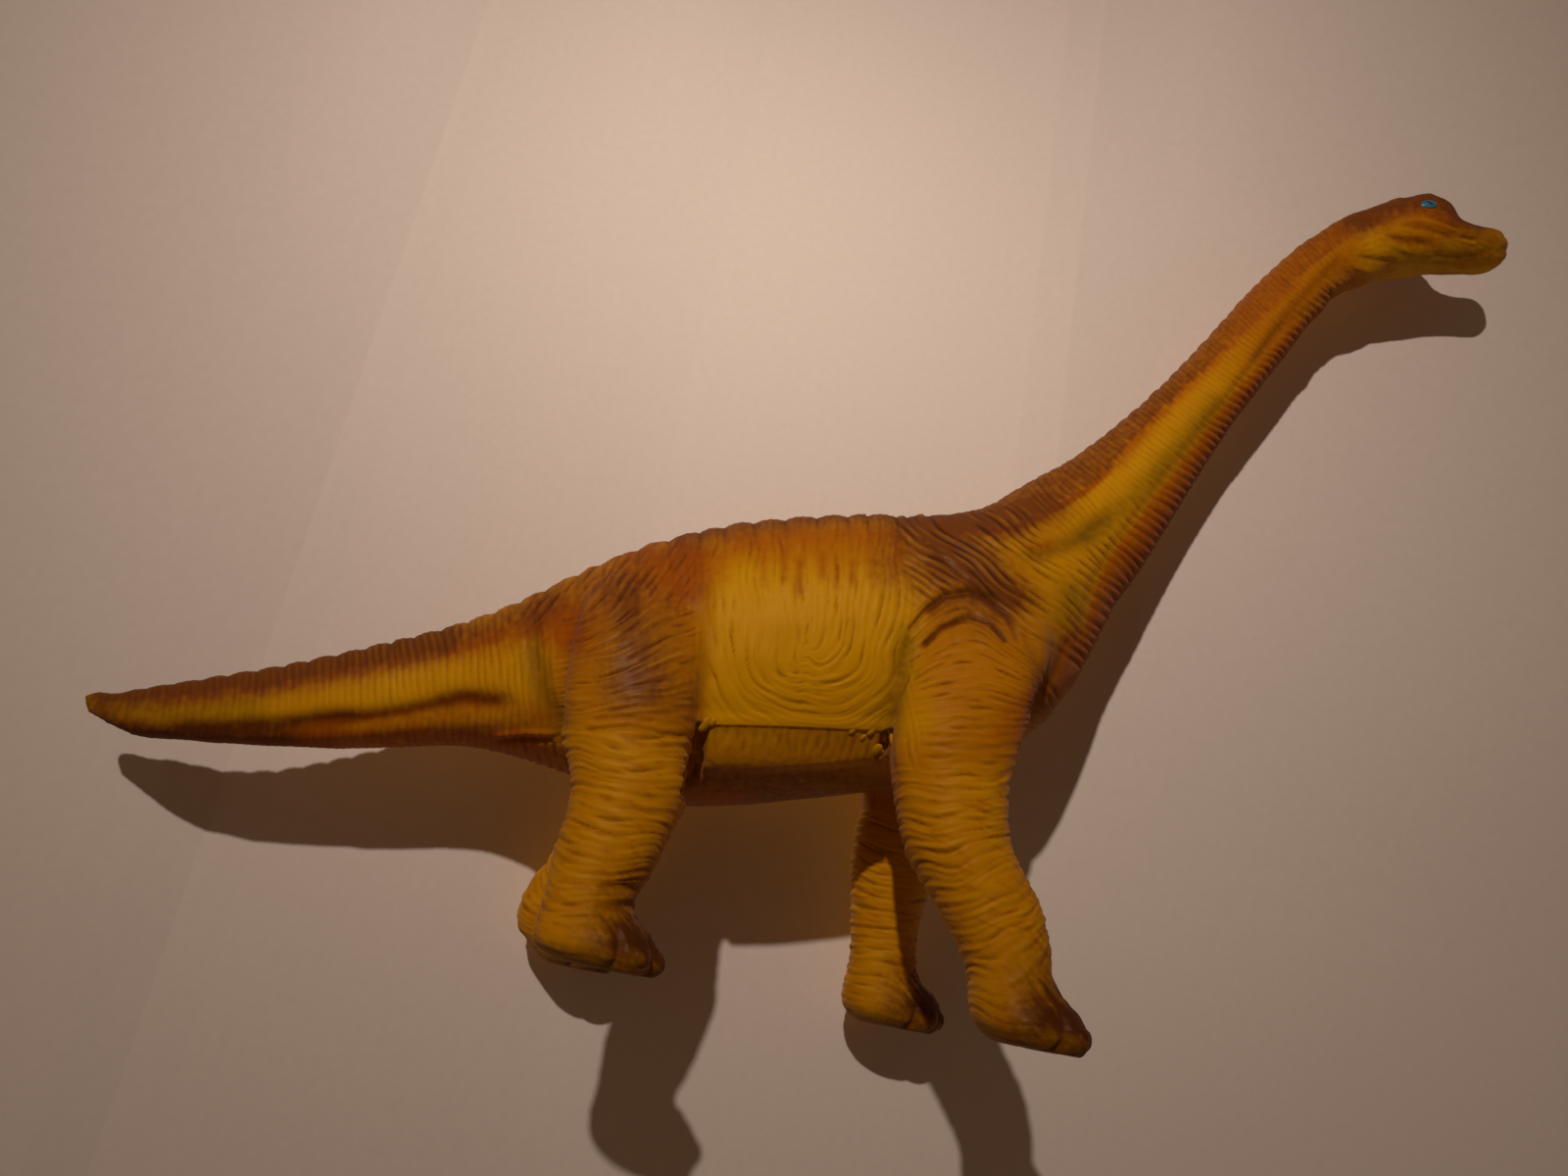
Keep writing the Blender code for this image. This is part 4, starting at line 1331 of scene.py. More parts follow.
    def _paint_neck(self, masks: Masks, neck: np.ndarray, head: np.ndarray, fleck: np.ndarray,
                    streak: np.ndarray) -> None:
        """Paints the neck's upper side and its throat, each up to a ragged line.

        Args:
            masks: The masks so far, which are changed.
            neck: Share of the neck at each point.
            head: Share of the head.
            fleck: Noise that frays the lines.
            streak: Noise that follows the ribs.
        """
        u, v, a, b, run = self.u, self.v, self.a, self.b, self.spine.run
        top = smoothstep(run, 262, 300)
        edge = follow(NECK_LINE, u, v).side + 0.6 * fleck + 0.4 * streak
        above = neck * smoothstep(edge, -0.6, 0.8)
        for name, (root, end) in self.neck_cover.items():
            masks.deepen(name, above * blend(root, end, top))
        bare = smoothstep(a + 1.2 * fleck, -23.8, -20.4) * (a < 0) * smoothstep(b, 18, 14)
        masks["brown"] *= 1 - bare
        side = follow(THROAT_LINE, u, v).side + 0.5 * streak + 0.5 * fleck
        below = smoothstep(side, 0.4, -1.6) * smoothstep(run, 178, 192) * (1 - head)
        masks.deepen("ember", 0.75 * below)
        shade = blend(0.22, 0.7, smoothstep(side, -2.0, -6.0))
        masks.deepen("umber", below * shade * (1 - 0.75 * top))
        masks.deepen("ember", 0.35 * top * neck)

    def _brightness(self, masks: Masks, neck: np.ndarray, head: np.ndarray) -> np.ndarray:
        """Works out where the vinyl is a brighter yellow. On the lower head it is painted light.

        Args:
            masks: The masks of the body's paints.
            neck: Share of the neck at each point.
            head: Share of the head.

        Returns:
            Shares from 0 to 1.
        """
        u = self.u
        sun = self.window("bright")
        tail = smoothstep(u, -56, -66) * blend(0.4, 0.9, smoothstep(u, -148, -120))
        # painted light: the lower head, which faces down into shade, is made brighter
        jaw = head * blend(0.15, 1.0, smoothstep(self.v, 213, 207))
        top = smoothstep(self.spine.run, 262, 300)
        for part in (neck * blend(0.75, 0.1, top), tail, jaw, self.plate * 0.5):
            sun = np.maximum(sun, part)
        covered = np.maximum(masks["brown"], masks["umber"])
        return np.clip(np.maximum(sun * (1 - covered), self.leg * 0.48), 0, 1)

    def _paint_legs(self, masks: Masks, fleck: np.ndarray) -> np.ndarray:
        """Paints the dashes, ankles and heels of the legs.

        Args:
            masks: The masks so far, which are changed.
            fleck: Noise that frays the edges.

        Returns:
            The mask of the toes' dark paint.
        """
        u, z, whole = self.u, self.z, self.leg > 0.5
        ahead = self._ahead_of_ankle()
        front = z - 0.75 * ahead
        rays = GradientNoise(305).at((z + 0.75 * u) / 1.1, u / 7, self.y / 2.5)
        toe = smoothstep(front + 1.6 * fleck + 5.0 * rays, 8.5, -0.5)
        toe = toe * blend(0.3, 1.0, smoothstep(z + 1.5 * rays, 1.2, 4.4))
        toe = toe * smoothstep(ahead, -2, 7) * whole
        halo = smoothstep(front + 4.0 * rays, 19, 6) * smoothstep(ahead, -5, 4)
        masks.deepen("umber", 0.55 * halo * whole)
        dashes = GradientNoise(306).at(u / 4.5, (z + 0.15 * u) / 0.75, self.y / 4.5)
        masks.deepen("ember", 0.42 * (smoothstep(dashes + 0.25 * self.drift, 0.2, 0.55)
                                      * self.leg))
        masks.deepen("olive", smoothstep(z + fleck, 4, 0.5) * self.leg * 0.6)
        return np.clip(toe, 0, 1)

    def ridge(self, runs: np.ndarray) -> np.ndarray:
        """Finds places on the top line of the back.

        Args:
            runs: Their runs along the spine, in mm.

        Returns:
            Forward places and heights, one point a row, in mm.
        """
        on = (np.abs(self.y) < 0.8) & (self.spine.side > 0)
        run, side = self.spine.run[on], self.spine.side[on]
        places = self.points[on][:, [0, 2]]
        found = []
        for middle in runs:
            near = np.flatnonzero(np.abs(run - middle) < 0.6)
            found.append(places[near[np.argsort(side[near])[-3:]]].mean(0))
        return np.array(found)

    def nearest(self, u: float, v: float, side: int) -> int:
        """Number of the skin point at a place of the side view, on the side with that sign."""
        seen = (self.y * side > 0.5) & (self.normals[:, 1] * side > 0.1)
        return int(np.argmin((self.u - u) ** 2 + (self.v - v) ** 2 + np.where(seen, 0, 1e6)))

    def _ahead_of_ankle(self) -> np.ndarray:
        """Measures how far ahead of its leg's ankle each point lies.

        Returns:
            Distances in mm, and a place well behind off the legs.
        """
        result = np.full(self.x.shape, -20, np.float32)
        for leg in LEGS:
            middle = float(LegLine(leg.value).at(self.ankle)[0])
            result = np.where(self.own(leg) & (self.leg > 0.5), self.x - middle, result)
        return result


class Graph:
    """A node tree that is written as calls and sums."""

    def __init__(self, tree: bpy.types.NodeTree) -> None:
        """Starts with an empty tree.

        Args:
            tree: The tree to fill.
        """
        self.tree = tree
        tree.nodes.clear()

    def node(self, kind: str, settings: dict | None = None, **inputs: object) -> bpy.types.Node:
        """Adds a node.

        Args:
            kind: Its type.
            settings: What is set on it first.
            **inputs: Values or links of its sockets, with _ for a blank in a name, and
                a number after "n" for a socket's place.

        Returns:
            The node.
        """
        made = self.tree.nodes.new(kind)
        for name, value in (settings or {}).items():
            setattr(made, name, value)
        for name, value in inputs.items():
            numbered = name[0] == "n" and name[1:].isdigit()
            key = int(name[1:]) if numbered else name.replace("_", " ")
            self.feed(made.inputs[key], value)
        return made

    def feed(self, socket: bpy.types.NodeSocket, value: object) -> None:
        """Links a value to a socket, or sets it there.

        Args:
            socket: The socket.
            value: A value of the graph, another socket, or a plain value.
        """
        if isinstance(value, Value):
            value = value.socket
        if isinstance(value, bpy.types.NodeSocket):
            self.tree.links.new(value, socket)
        else:
            socket.default_value = value

    def value(self, kind: str, output: str | int, settings: dict | None = None,
              **inputs: object) -> "Value":
        """Adds a node and wraps one of its outputs."""
        return Value(self, self.node(kind, settings, **inputs).outputs[output])

    def mask(self, name: str) -> "Value":
        """Reads a mask off the mesh."""
        return self.value("ShaderNodeAttribute", "Fac", {"attribute_name": name})

    def noise(self, place: bpy.types.NodeSocket, scale: float, detail: float) -> "Value":
        """Adds a noise texture."""
        return self.value("ShaderNodeTexNoise", "Fac", Vector=place, Scale=scale, Detail=detail)

    def mix(self, share: object, first: object, second: object) -> "Value":
        """Mixes two colours.

        Args:
            share: Share of the second.
            first: The first colour.
            second: The second colour.

        Returns:
            The mixed colour.
        """
        settings = {"data_type": "RGBA", "clamp_factor": True}
        return self.value("ShaderNodeMix", 2, settings, n0=share, n6=first, n7=second)


class Value:
    """A number in a node tree, with sums written as in Python."""

    def __init__(self, graph: Graph, socket: bpy.types.NodeSocket) -> None:
        """Wraps a socket."""
        self.graph = graph
        self.socket = socket

    def _sum(self, how: str, first: object, second: object, clamp: bool = False) -> "Value":
        """Adds a Math node."""
        settings = {"operation": how, "use_clamp": clamp}
        return self.graph.value("ShaderNodeMath", 0, settings, n0=first, n1=second)

    def __add__(self, other: object) -> "Value":
        """self + other"""
        return self._sum("ADD", self, other)

    def __radd__(self, other: object) -> "Value":
        """other + self"""
        return self._sum("ADD", other, self)

    def __sub__(self, other: object) -> "Value":
        """self - other"""
        return self._sum("SUBTRACT", self, other)

    def __rsub__(self, other: object) -> "Value":
        """other - self"""
        return self._sum("SUBTRACT", other, self)

    def __mul__(self, other: object) -> "Value":
        """self * other"""
        return self._sum("MULTIPLY", self, other)

    def __rmul__(self, other: object) -> "Value":
        """other * self"""
        return self._sum("MULTIPLY", other, self)

    def __truediv__(self, other: object) -> "Value":
        """self / other"""
        return self._sum("DIVIDE", self, other)

    def __rtruediv__(self, other: object) -> "Value":
        """other / self"""
        return self._sum("DIVIDE", other, self)

    def clamped(self) -> "Value":
        """Held between 0 and 1."""
        return self._sum("ADD", self, 0.0, clamp=True)


Colour = tuple[float, float, float, float]


def new_material(name: str) -> tuple[bpy.types.Material, Graph, bpy.types.NodeSocket]:
    """Starts a material.

    Args:
        name: Its name.

    Returns:
        The material, its empty graph, and the place on the object.
    """
    made = bpy.data.materials.new(name)
    made.use_nodes = True
    graph = Graph(made.node_tree)
    return made, graph, graph.node("ShaderNodeTexCoord").outputs["Object"]


@dataclass(frozen=True)
class Vinyl:
    """Soft vinyl with sprayed paint, painted shade in its creases and painted highlights on its
    crests.

    Attributes:
        grains: Scale and detail of its clouds, flecks and pores.
        gloss: How the whole surface shines.
        name: The material's name.
        orange: The vinyl's own colour.
        yellow: The brighter tone of the lit areas.
        pale: Paler tone painted on the crests as a highlight.
        brown: Purple-brown spray of the back.
        ember: Orange-red spray beside it.
        umber: Red-brown of the underside and the throat, and painted shade along grooves.
        toe: Dark spray of the toes.
        olive: Greenish tone: painted shade in the hollows, and a tint near soles and tail tip.
        crease_shade: Painted shade at the bottoms of the creases.
        crease_shade_red: Redder tone of that painted shade in places.
        crease_shade_plum: Its dark tone in the brown areas.
        rough: Roughness of the crests.
        rougher: What the creases add to it.
        cover: Cover of the sprays where they are full.
        patchy: How much the clouds shift the brighter tone.
        pale_share: Share of that painted highlight on the crests.
        worn: Share of the brown that the crests have lost.
        crease_shade_share: Share of that painted shade in the creases.
        crease_shade_plum_share: Share of the dark tone there.
        gloss_brown: Coat over the brown.
        gloss_toe: Coat over the toes' spray.
    """

    grains: ClassVar[tuple[tuple[float, float], ...]] = (
        (110.0, 3.0), (900.0, 2.0), (3200.0, 1.0),
    )
    gloss: ClassVar[dict[str, float | Colour]] = {
        "Coat_Roughness": 0.36, "IOR": 1.45, "Specular_IOR_Level": 0.14,
        "Specular_Tint": (1.0, 0.74, 0.40, 1), "Sheen_Weight": 0.08, "Sheen_Roughness": 0.45,
        "Sheen_Tint": (1.0, 0.82, 0.74, 1),
    }

    name: str
    orange: Colour = (0.52, 0.198, 0.0009, 1)
    yellow: Colour = (0.70, 0.352, 0.0012, 1)
    pale: Colour = (0.72, 0.43, 0.03, 1)
    brown: Colour = (0.160, 0.042, 0.009, 1)
    ember: Colour = (0.40, 0.086, 0.001, 1)
    umber: Colour = (0.125, 0.024, 0.001, 1)
    toe: Colour = (0.058, 0.012, 0.004, 1)
    olive: Colour = (0.150, 0.105, 0.002, 1)
    crease_shade: Colour = (0.110, 0.036, 0.001, 1)
    crease_shade_red: Colour = (0.190, 0.032, 0.001, 1)
    crease_shade_plum: Colour = (0.048, 0.013, 0.007, 1)
    rough: float = 0.45
    rougher: float = 0.2
    cover: float = 0.9
    patchy: float = 0.9
    pale_share: float = 0.25
    worn: float = 0.4
    crease_shade_share: float = 0.58
    crease_shade_plum_share: float = 0.6
    gloss_brown: float = 0.10
    gloss_toe: float = 0.08

    def material(self) -> bpy.types.Material:
        """Builds the material.

        Returns:
            A material that reads the sculptor's masks.
        """
        made, g, place = new_material(self.name)
        cloud, fleck, pores = (g.noise(place, *grain) for grain in self.grains)
        speck = (fleck - 0.5) * 0.5 + (cloud - 0.5) * 0.5
        crease, brown = g.mask("crease"), g.mask("brown")
        bright = (g.mask("sun") + (cloud - 0.5) * self.patchy).clamped()
        colour = self._sprayed(g, g.mix(bright, self.orange, self.yellow), speck)
        # painted shade: the creases are darkened, redder in places and darkest in the brown areas
        crease_shade = g.mix(((cloud - 0.5) * 4.0 + 0.5).clamped(), self.crease_shade, self.crease_shade_red)
        colour = g.mix((crease * (self.crease_shade_share + speck)).clamped(), colour, crease_shade)
        colour = g.mix((crease * brown * self.crease_shade_plum_share).clamped(), colour, self.crease_shade_plum)
        bump = g.node("ShaderNodeBump", Strength=0.22, Distance=0.0002,
                      Height=pores * 0.4 + fleck * 0.6)
        rough = self.rough + crease * self.rougher + (fleck - 0.5) * 0.12
        coat = brown * self.gloss_brown + g.mask("toe") * self.gloss_toe
        shader = g.node("ShaderNodeBsdfPrincipled", Base_Color=colour, Roughness=rough.clamped(),
                        Coat_Weight=coat.clamped(), Normal=bump.outputs[0], **self.gloss)
        g.node("ShaderNodeOutputMaterial", Surface=shader.outputs[0])
        return made

    def _sprayed(self, g: Graph, colour: Value, speck: Value) -> Value:
        """Lays the sprays over the vinyl's own colour.

        Args:
            g: The material's graph.
            colour: The colour so far.
            speck: Noise that breaks the sprays up.

        Returns:
            The colour with the sprays on it.
        """
        crest, olive = g.mask("crest"), g.mask("olive")
        # painted highlight: the crests of the folds are made paler
        colour = g.mix(crest * self.pale_share, colour, self.pale)
        colour = g.mix((olive + speck * olive).clamped(), colour, self.olive)
        for name in ("umber", "ember", "brown", "toe"):
            read = g.mask(name)
            share = (read + speck * read * (1 - read) * 4).clamped()
            if name == "brown":
                share = share * (1 - crest * self.worn)
            colour = g.mix(share * self.cover, colour, getattr(self, name))
        return colour


def prism(name: str, outline: Path, top: list[float], bottom: float) -> bpy.types.Object:
    """Makes a closed cutter from a plan outline.

    Args:
        name: Its name.
        outline: Plan corners, anticlockwise from above, in mm.
        top: Height over each corner, in mm.
        bottom: Height of its flat floor, in mm.

    Returns:
        The cutter.
    """
    made = bmesh.new()
    upper = [made.verts.new((x * MM, y * MM, z * MM)) for (x, y), z in zip(outline, top)]
    lower = [made.verts.new((x * MM, y * MM, bottom * MM)) for x, y in outline]
    made.faces.new(upper)
    made.faces.new(lower[::-1])
    for n in range(len(outline)):
        m = (n + 1) % len(outline)
        made.faces.new((lower[n], lower[m], upper[m], upper[n]))
    return link(name, built_mesh(made, name))


def carve(mesh: bpy.types.Mesh, cutter: bpy.types.Object, how: str) -> bpy.types.Mesh:
    """Cuts a closed mesh.

    Args:
        mesh: The mesh, which stays as it is.
        cutter: The cutter, which stays too.
        how: DIFFERENCE, INTERSECT or UNION.

    Returns:
        The cut mesh.
    """
    work = link("work", mesh.copy())
    cut = work.modifiers.new("cut", "BOOLEAN")
    cut.solver = "MANIFOLD"
    cut.operation = how
    cut.object = cutter
    return baked(work)


@dataclass(frozen=True)
class Seams:
    """Where the mouldings part, in mm.

    Attributes:
        plate_back: Forward place of the belly plate's rear end.
        plate_front: Forward place of its front end.
        broad_back: Where the plate grows to the flanks, behind.
        broad_front: Where it ends being so broad, ahead.
        narrow: Half width of the plate between the legs.
        floor: A height between the feet and the plate's underside.
        gap: Open seam between neighbours.
        soft: Half width over which the sculpting changes at a seam.
        lip: How far the shell's rim stands out over the plate.
        inset: How far the plate lies back from the flanks.
        bulge: How far it swells below the seam.
        bulge_drop: Distance of the swelling under the seam.
        bulge_width: Half height at which it has faded to a third.
        pocket: Depth of the pockets at the broad part's ends.
        pocket_back: Distances from its rear end at which the pocket begins and is full.
        pocket_front: The same from its front end.
        wide: Half width of the plate's cutter.
        leg_box: Half length, half width and underside of the legs' cutter.
        overlap: How far its rear and front halves overlap.
    """

    plate_back: float = -62.5
    plate_front: float = 31.5
    broad_back: float = -26.0
    broad_front: float = 10.0
    narrow: float = 11.35
    floor: float = 31.0
    gap: float = 0.04
    soft: float = 0.2
    lip: float = 0.22
    inset: float = 0.14
    bulge: float = 1.3
    bulge_drop: float = 5.5
    bulge_width: float = 3.0
    pocket: float = 1.3
    pocket_back: tuple[float, float] = (2.8, 1.2)
    pocket_front: tuple[float, float] = (1.8, 0.9)
    wide: float = 60.0
    leg_box: tuple[float, float, float] = (90.0, 70.0, -5.0)
    overlap: float = 0.01

    def plate_cutter(self, grow: float) -> bpy.types.Object:
        """Makes the belly plate's space.

        Args:
            grow: How much larger it is made all round, in mm.

        Returns:
            The cutter.
        """
        back, front = self.plate_back - grow, self.plate_front + grow
        broad = (self.broad_back - grow, self.broad_front + grow)
        half, wide = self.narrow + grow, self.wide
        outline = (
            (back, -half), (broad[0], -half), (broad[0], -wide), (broad[1], -wide),
            (broad[1], -half), (front, -half), (front, half), (broad[1], half),
            (broad[1], wide), (broad[0], wide), (broad[0], half), (back, half),
        )
        top = [Parting().level(x) + grow for x, _ in outline]
        return prism("plate_space", outline, top, self.floor)

    def leg_cutter(self, grow: float) -> bpy.types.Object:
        """Makes the space of the four legs, without the plate's.

        Args:
            grow: How much larger it is made all round, in mm.

        Returns:
            The cutter.
        """
        plane, reach = Parting(), self.leg_box[0]
        hind = self._leg_half("hind_space", -reach, plane.middle, plane.hind_drop - grow)
        fore = self._leg_half("fore_space", plane.middle - self.overlap, reach,
                              plane.fore_drop - grow)
        both = carve(hind.data, fore, "UNION")
        plate = self.plate_cutter(-grow)
        made = link("leg_space", carve(both, plate, "DIFFERENCE"))
        for used in (hind, fore, plate):
            bpy.data.objects.remove(used)
        return made

    def _leg_half(self, name: str, back: float, front: float, drop: float) -> bpy.types.Object:
        """Makes one half of the legs' space.

        Args:
            name: Its name.
            back: Its rear end, in mm.
            front: Its front end, in mm.
            drop: Distance of its top under the parting plane, in mm.

        Returns:
            The cutter.
        """
        half, bottom = self.leg_box[1:]
        outline = ((back, -half), (front, -half), (front, half), (back, half))
        return prism(name, outline, [Parting().level(x) - drop for x, _ in outline], bottom)


def loose_parts(mesh: bpy.types.Mesh, smallest: int) -> list[bpy.types.Mesh]:
    """Separates a mesh's unconnected parts.

    Args:
        mesh: The mesh.
        smallest: Parts with fewer vertices are dropped.

    Returns:
        A mesh for each part.
    """
    work = link("parts", mesh)
    for other in bpy.context.selected_objects:
        other.select_set(False)
    bpy.context.view_layer.objects.active = work
    work.select_set(True)
    bpy.ops.mesh.separate(type="LOOSE")
    found = []
    for part in list(bpy.context.selected_objects):
        if len(part.data.vertices) >= smallest:
            found.append(part.data)
        bpy.data.objects.remove(part)
    return found


def finish_piece(mesh: bpy.types.Mesh, name: str, node: str,
                 material: bpy.types.Material) -> bpy.types.Object:
    """Makes a mesh a finished piece of the figure.

    Args:
        mesh: Its mesh.
        name: Its name.
        node: The CAD node that it stands for.
        material: Its material.

    Returns:
        The piece.
    """
    mesh.name = name
    mesh.materials.clear()
    mesh.materials.append(material)
    mesh.polygons.foreach_set("use_smooth", np.ones(len(mesh.polygons), bool))
    if "shading" in mesh.attributes:
        shading = read_layer(mesh, "shading")
        mesh.attributes.remove(mesh.attributes["shading"])
        mesh.normals_split_custom_set_from_vertices(shading)
    piece = link(name, mesh)
    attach(piece, "root")
    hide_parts(node)
    log.info("%s: %d faces", name, len(mesh.polygons))
    return piece


class PaintLookup:
    """Carries the sculptor's masks over to cuts and to pieces that are set on the skin.

    Attributes:
        names: The masks that are carried over.
    """

    names: ClassVar[tuple[str, ...]] = ("sun", "olive", "umber", "ember", "brown", "toe")

    def __init__(self, skin: bpy.types.Mesh) -> None:
        """Reads the skin and marks its points.

        Args:
            skin: The sculpted and painted skin.
        """
        points = numbers(skin.vertices, "co", 3)
        self.tree = KDTree(len(points))
        for n, point in enumerate(points.tolist()):
            self.tree.insert(point, n)
        self.tree.balance()
        self.masks = {name: read_layer(skin, name) for name in self.names}
        self.shading = quad_normals(skin)
        write_layer(skin, "kept", np.ones(len(points)))
        write_layer(skin, "shading", self.shading)

    def mend(self, mesh: bpy.types.Mesh) -> None:
        """Paints the vertices that a cut has added, and drops the mark of the others.

        Args:
            mesh: What was cut off the skin.
        """
        added = np.flatnonzero(read_layer(mesh, "kept") < 0.5)
        near = [self.tree.find(mesh.vertices[n].co)[1] for n in added.tolist()]
        for name, kept in (*self.masks.items(), ("shading", self.shading)):
            values = read_layer(mesh, name)
            values[added] = kept[near]
            write_layer(mesh, name, values)
        mesh.attributes.remove(mesh.attributes["kept"])

    def paint(self, mesh: bpy.types.Mesh, **changes: float) -> None:
        """Gives each vertex the paint of the skin next to it.

        Args:
            mesh: What is painted.
            **changes: What is added to a mask.
        """
        near = [self.tree.find(vertex.co)[1] for vertex in mesh.vertices]
        for name, mask in self.masks.items():
            write_layer(mesh, name, np.clip(mask[near] + changes.get(name, 0), 0, 1))


class BellyPlate:
    """The plate that closes the belly."""

    def build(self, skin: bpy.types.Mesh, paint: PaintLookup,
              material: bpy.types.Material) -> None:
        """Cuts the plate off the skin.

        Args:
            skin: The whole skin.
            paint: Its paint.
            material: The plate's vinyl.
        """
        space = Seams().plate_cutter(0)
        plate = carve(skin, space, "INTERSECT")
        bpy.data.objects.remove(space)
        paint.mend(plate)
        finish_piece(plate, "belly_plate_skin", Mouldings.PLATE.value, material)


@dataclass
class Legs:
    """The four legs.

    Attributes:
        smallest: Vertices of the smallest part that is a leg and not a sliver of the cut.
    """

    smallest: int = 2000

    def build(self, skin: bpy.types.Mesh, paint: PaintLookup,
              material: bpy.types.Material) -> None:
        """Cuts the legs off the skin.

        Args:
            skin: The whole skin.
            paint: Its paint.
            material: The legs' vinyl.
        """
        space = Seams().leg_cutter(0)
        parts = loose_parts(carve(skin, space, "INTERSECT"), self.smallest)
        bpy.data.objects.remove(space)
        for part in parts:
            middle = numbers(part.vertices, "co", 3).mean(0) / MM
            quarter = (bool(middle[0] < Parting().middle), bool(middle[1] < 0))
            leg = next(leg for leg in LEGS if (leg.hind, leg.right) == quarter)
            paint.mend(part)
            finish_piece(part, leg.value + "_skin", leg.value, material)


@dataclass
class BodyShell:
    """The hollow body with neck, head and tail, in lengths that are light enough to keep.

    Attributes:
        cuts: Places along the spine at which one length ends and the next begins, in mm:
            forward place, height, and the lean of the cut from upright, in degrees.
        names: Names of the lengths, from the tail on.
        weld: Distance from a cut at which a point lies in it, in metres.
    """

    cuts: tuple[tuple[float, float, float], ...] = (
        (-62.0, 55.0, 0.0),
        (-20.0, 66.0, 0.0),
        (17.0, 75.0, 0.0),
        (50.0, 116.5, 40.0),
        (108.0, 199.0, 40.0),
    )
    names: tuple[str, ...] = ("tail", "rump", "flank", "shoulder", "neck", "head")
    weld: float = 1e-7

    def build(self, skin: bpy.types.Mesh, paint: PaintLookup,
              material: bpy.types.Material) -> None:
        """Cuts the shell off the skin and splits it into its lengths.

        Args:
            skin: The whole skin.
            paint: Its paint.
            material: The body's vinyl.
        """
        rest = bmesh.new()
        rest.from_mesh(self._whole(skin, paint))
        for number, name in enumerate(self.names):
            part = rest.copy() if number < len(self.cuts) else rest
            if number < len(self.cuts):
                self._halve(part, self.cuts[number], keep_front=False)
                self._halve(rest, self.cuts[number], keep_front=True)
            finish_piece(built_mesh(part, name), "body_" + name, Mouldings.BODY.value,
                         material)

    def _whole(self, skin: bpy.types.Mesh, paint: PaintLookup) -> bpy.types.Mesh:
        """Takes the plate and the legs off the skin, with an open seam beside them.

        Args:
            skin: The whole skin.
            paint: Its paint.

        Returns:
            The whole shell.
        """
        seams = Seams()
        plate, legs = seams.plate_cutter(seams.gap), seams.leg_cutter(seams.gap)
        both = link("space", carve(plate.data, legs, "UNION"))
        shell = carve(skin, both, "DIFFERENCE")
        for used in (plate, legs, both):
            bpy.data.objects.remove(used)
        paint.mend(shell)
        return shell

    def _halve(self, part: bmesh.types.BMesh, cut: tuple[float, float, float],
               keep_front: bool) -> None:
        """Cuts one side of a plane away and closes the opening.

        Args:
            part: What is cut.
            cut: The place and lean of the plane.
            keep_front: Keeps the side towards the head if true.
        """
        x, z, lean = cut
        angle = math.radians(lean)
        normal = Vector((math.cos(angle), 0, math.sin(angle)))
        result = bmesh.ops.bisect_plane(
            part, geom=part.verts[:] + part.edges[:] + part.faces[:], dist=self.weld,
            plane_co=(x * MM, 0, z * MM), plane_no=normal,
            clear_inner=keep_front, clear_outer=not keep_front,
        )
        edges = [e for e in result["geom_cut"] if isinstance(e, bmesh.types.BMEdge)]
        bmesh.ops.contextual_create(part, geom=edges)


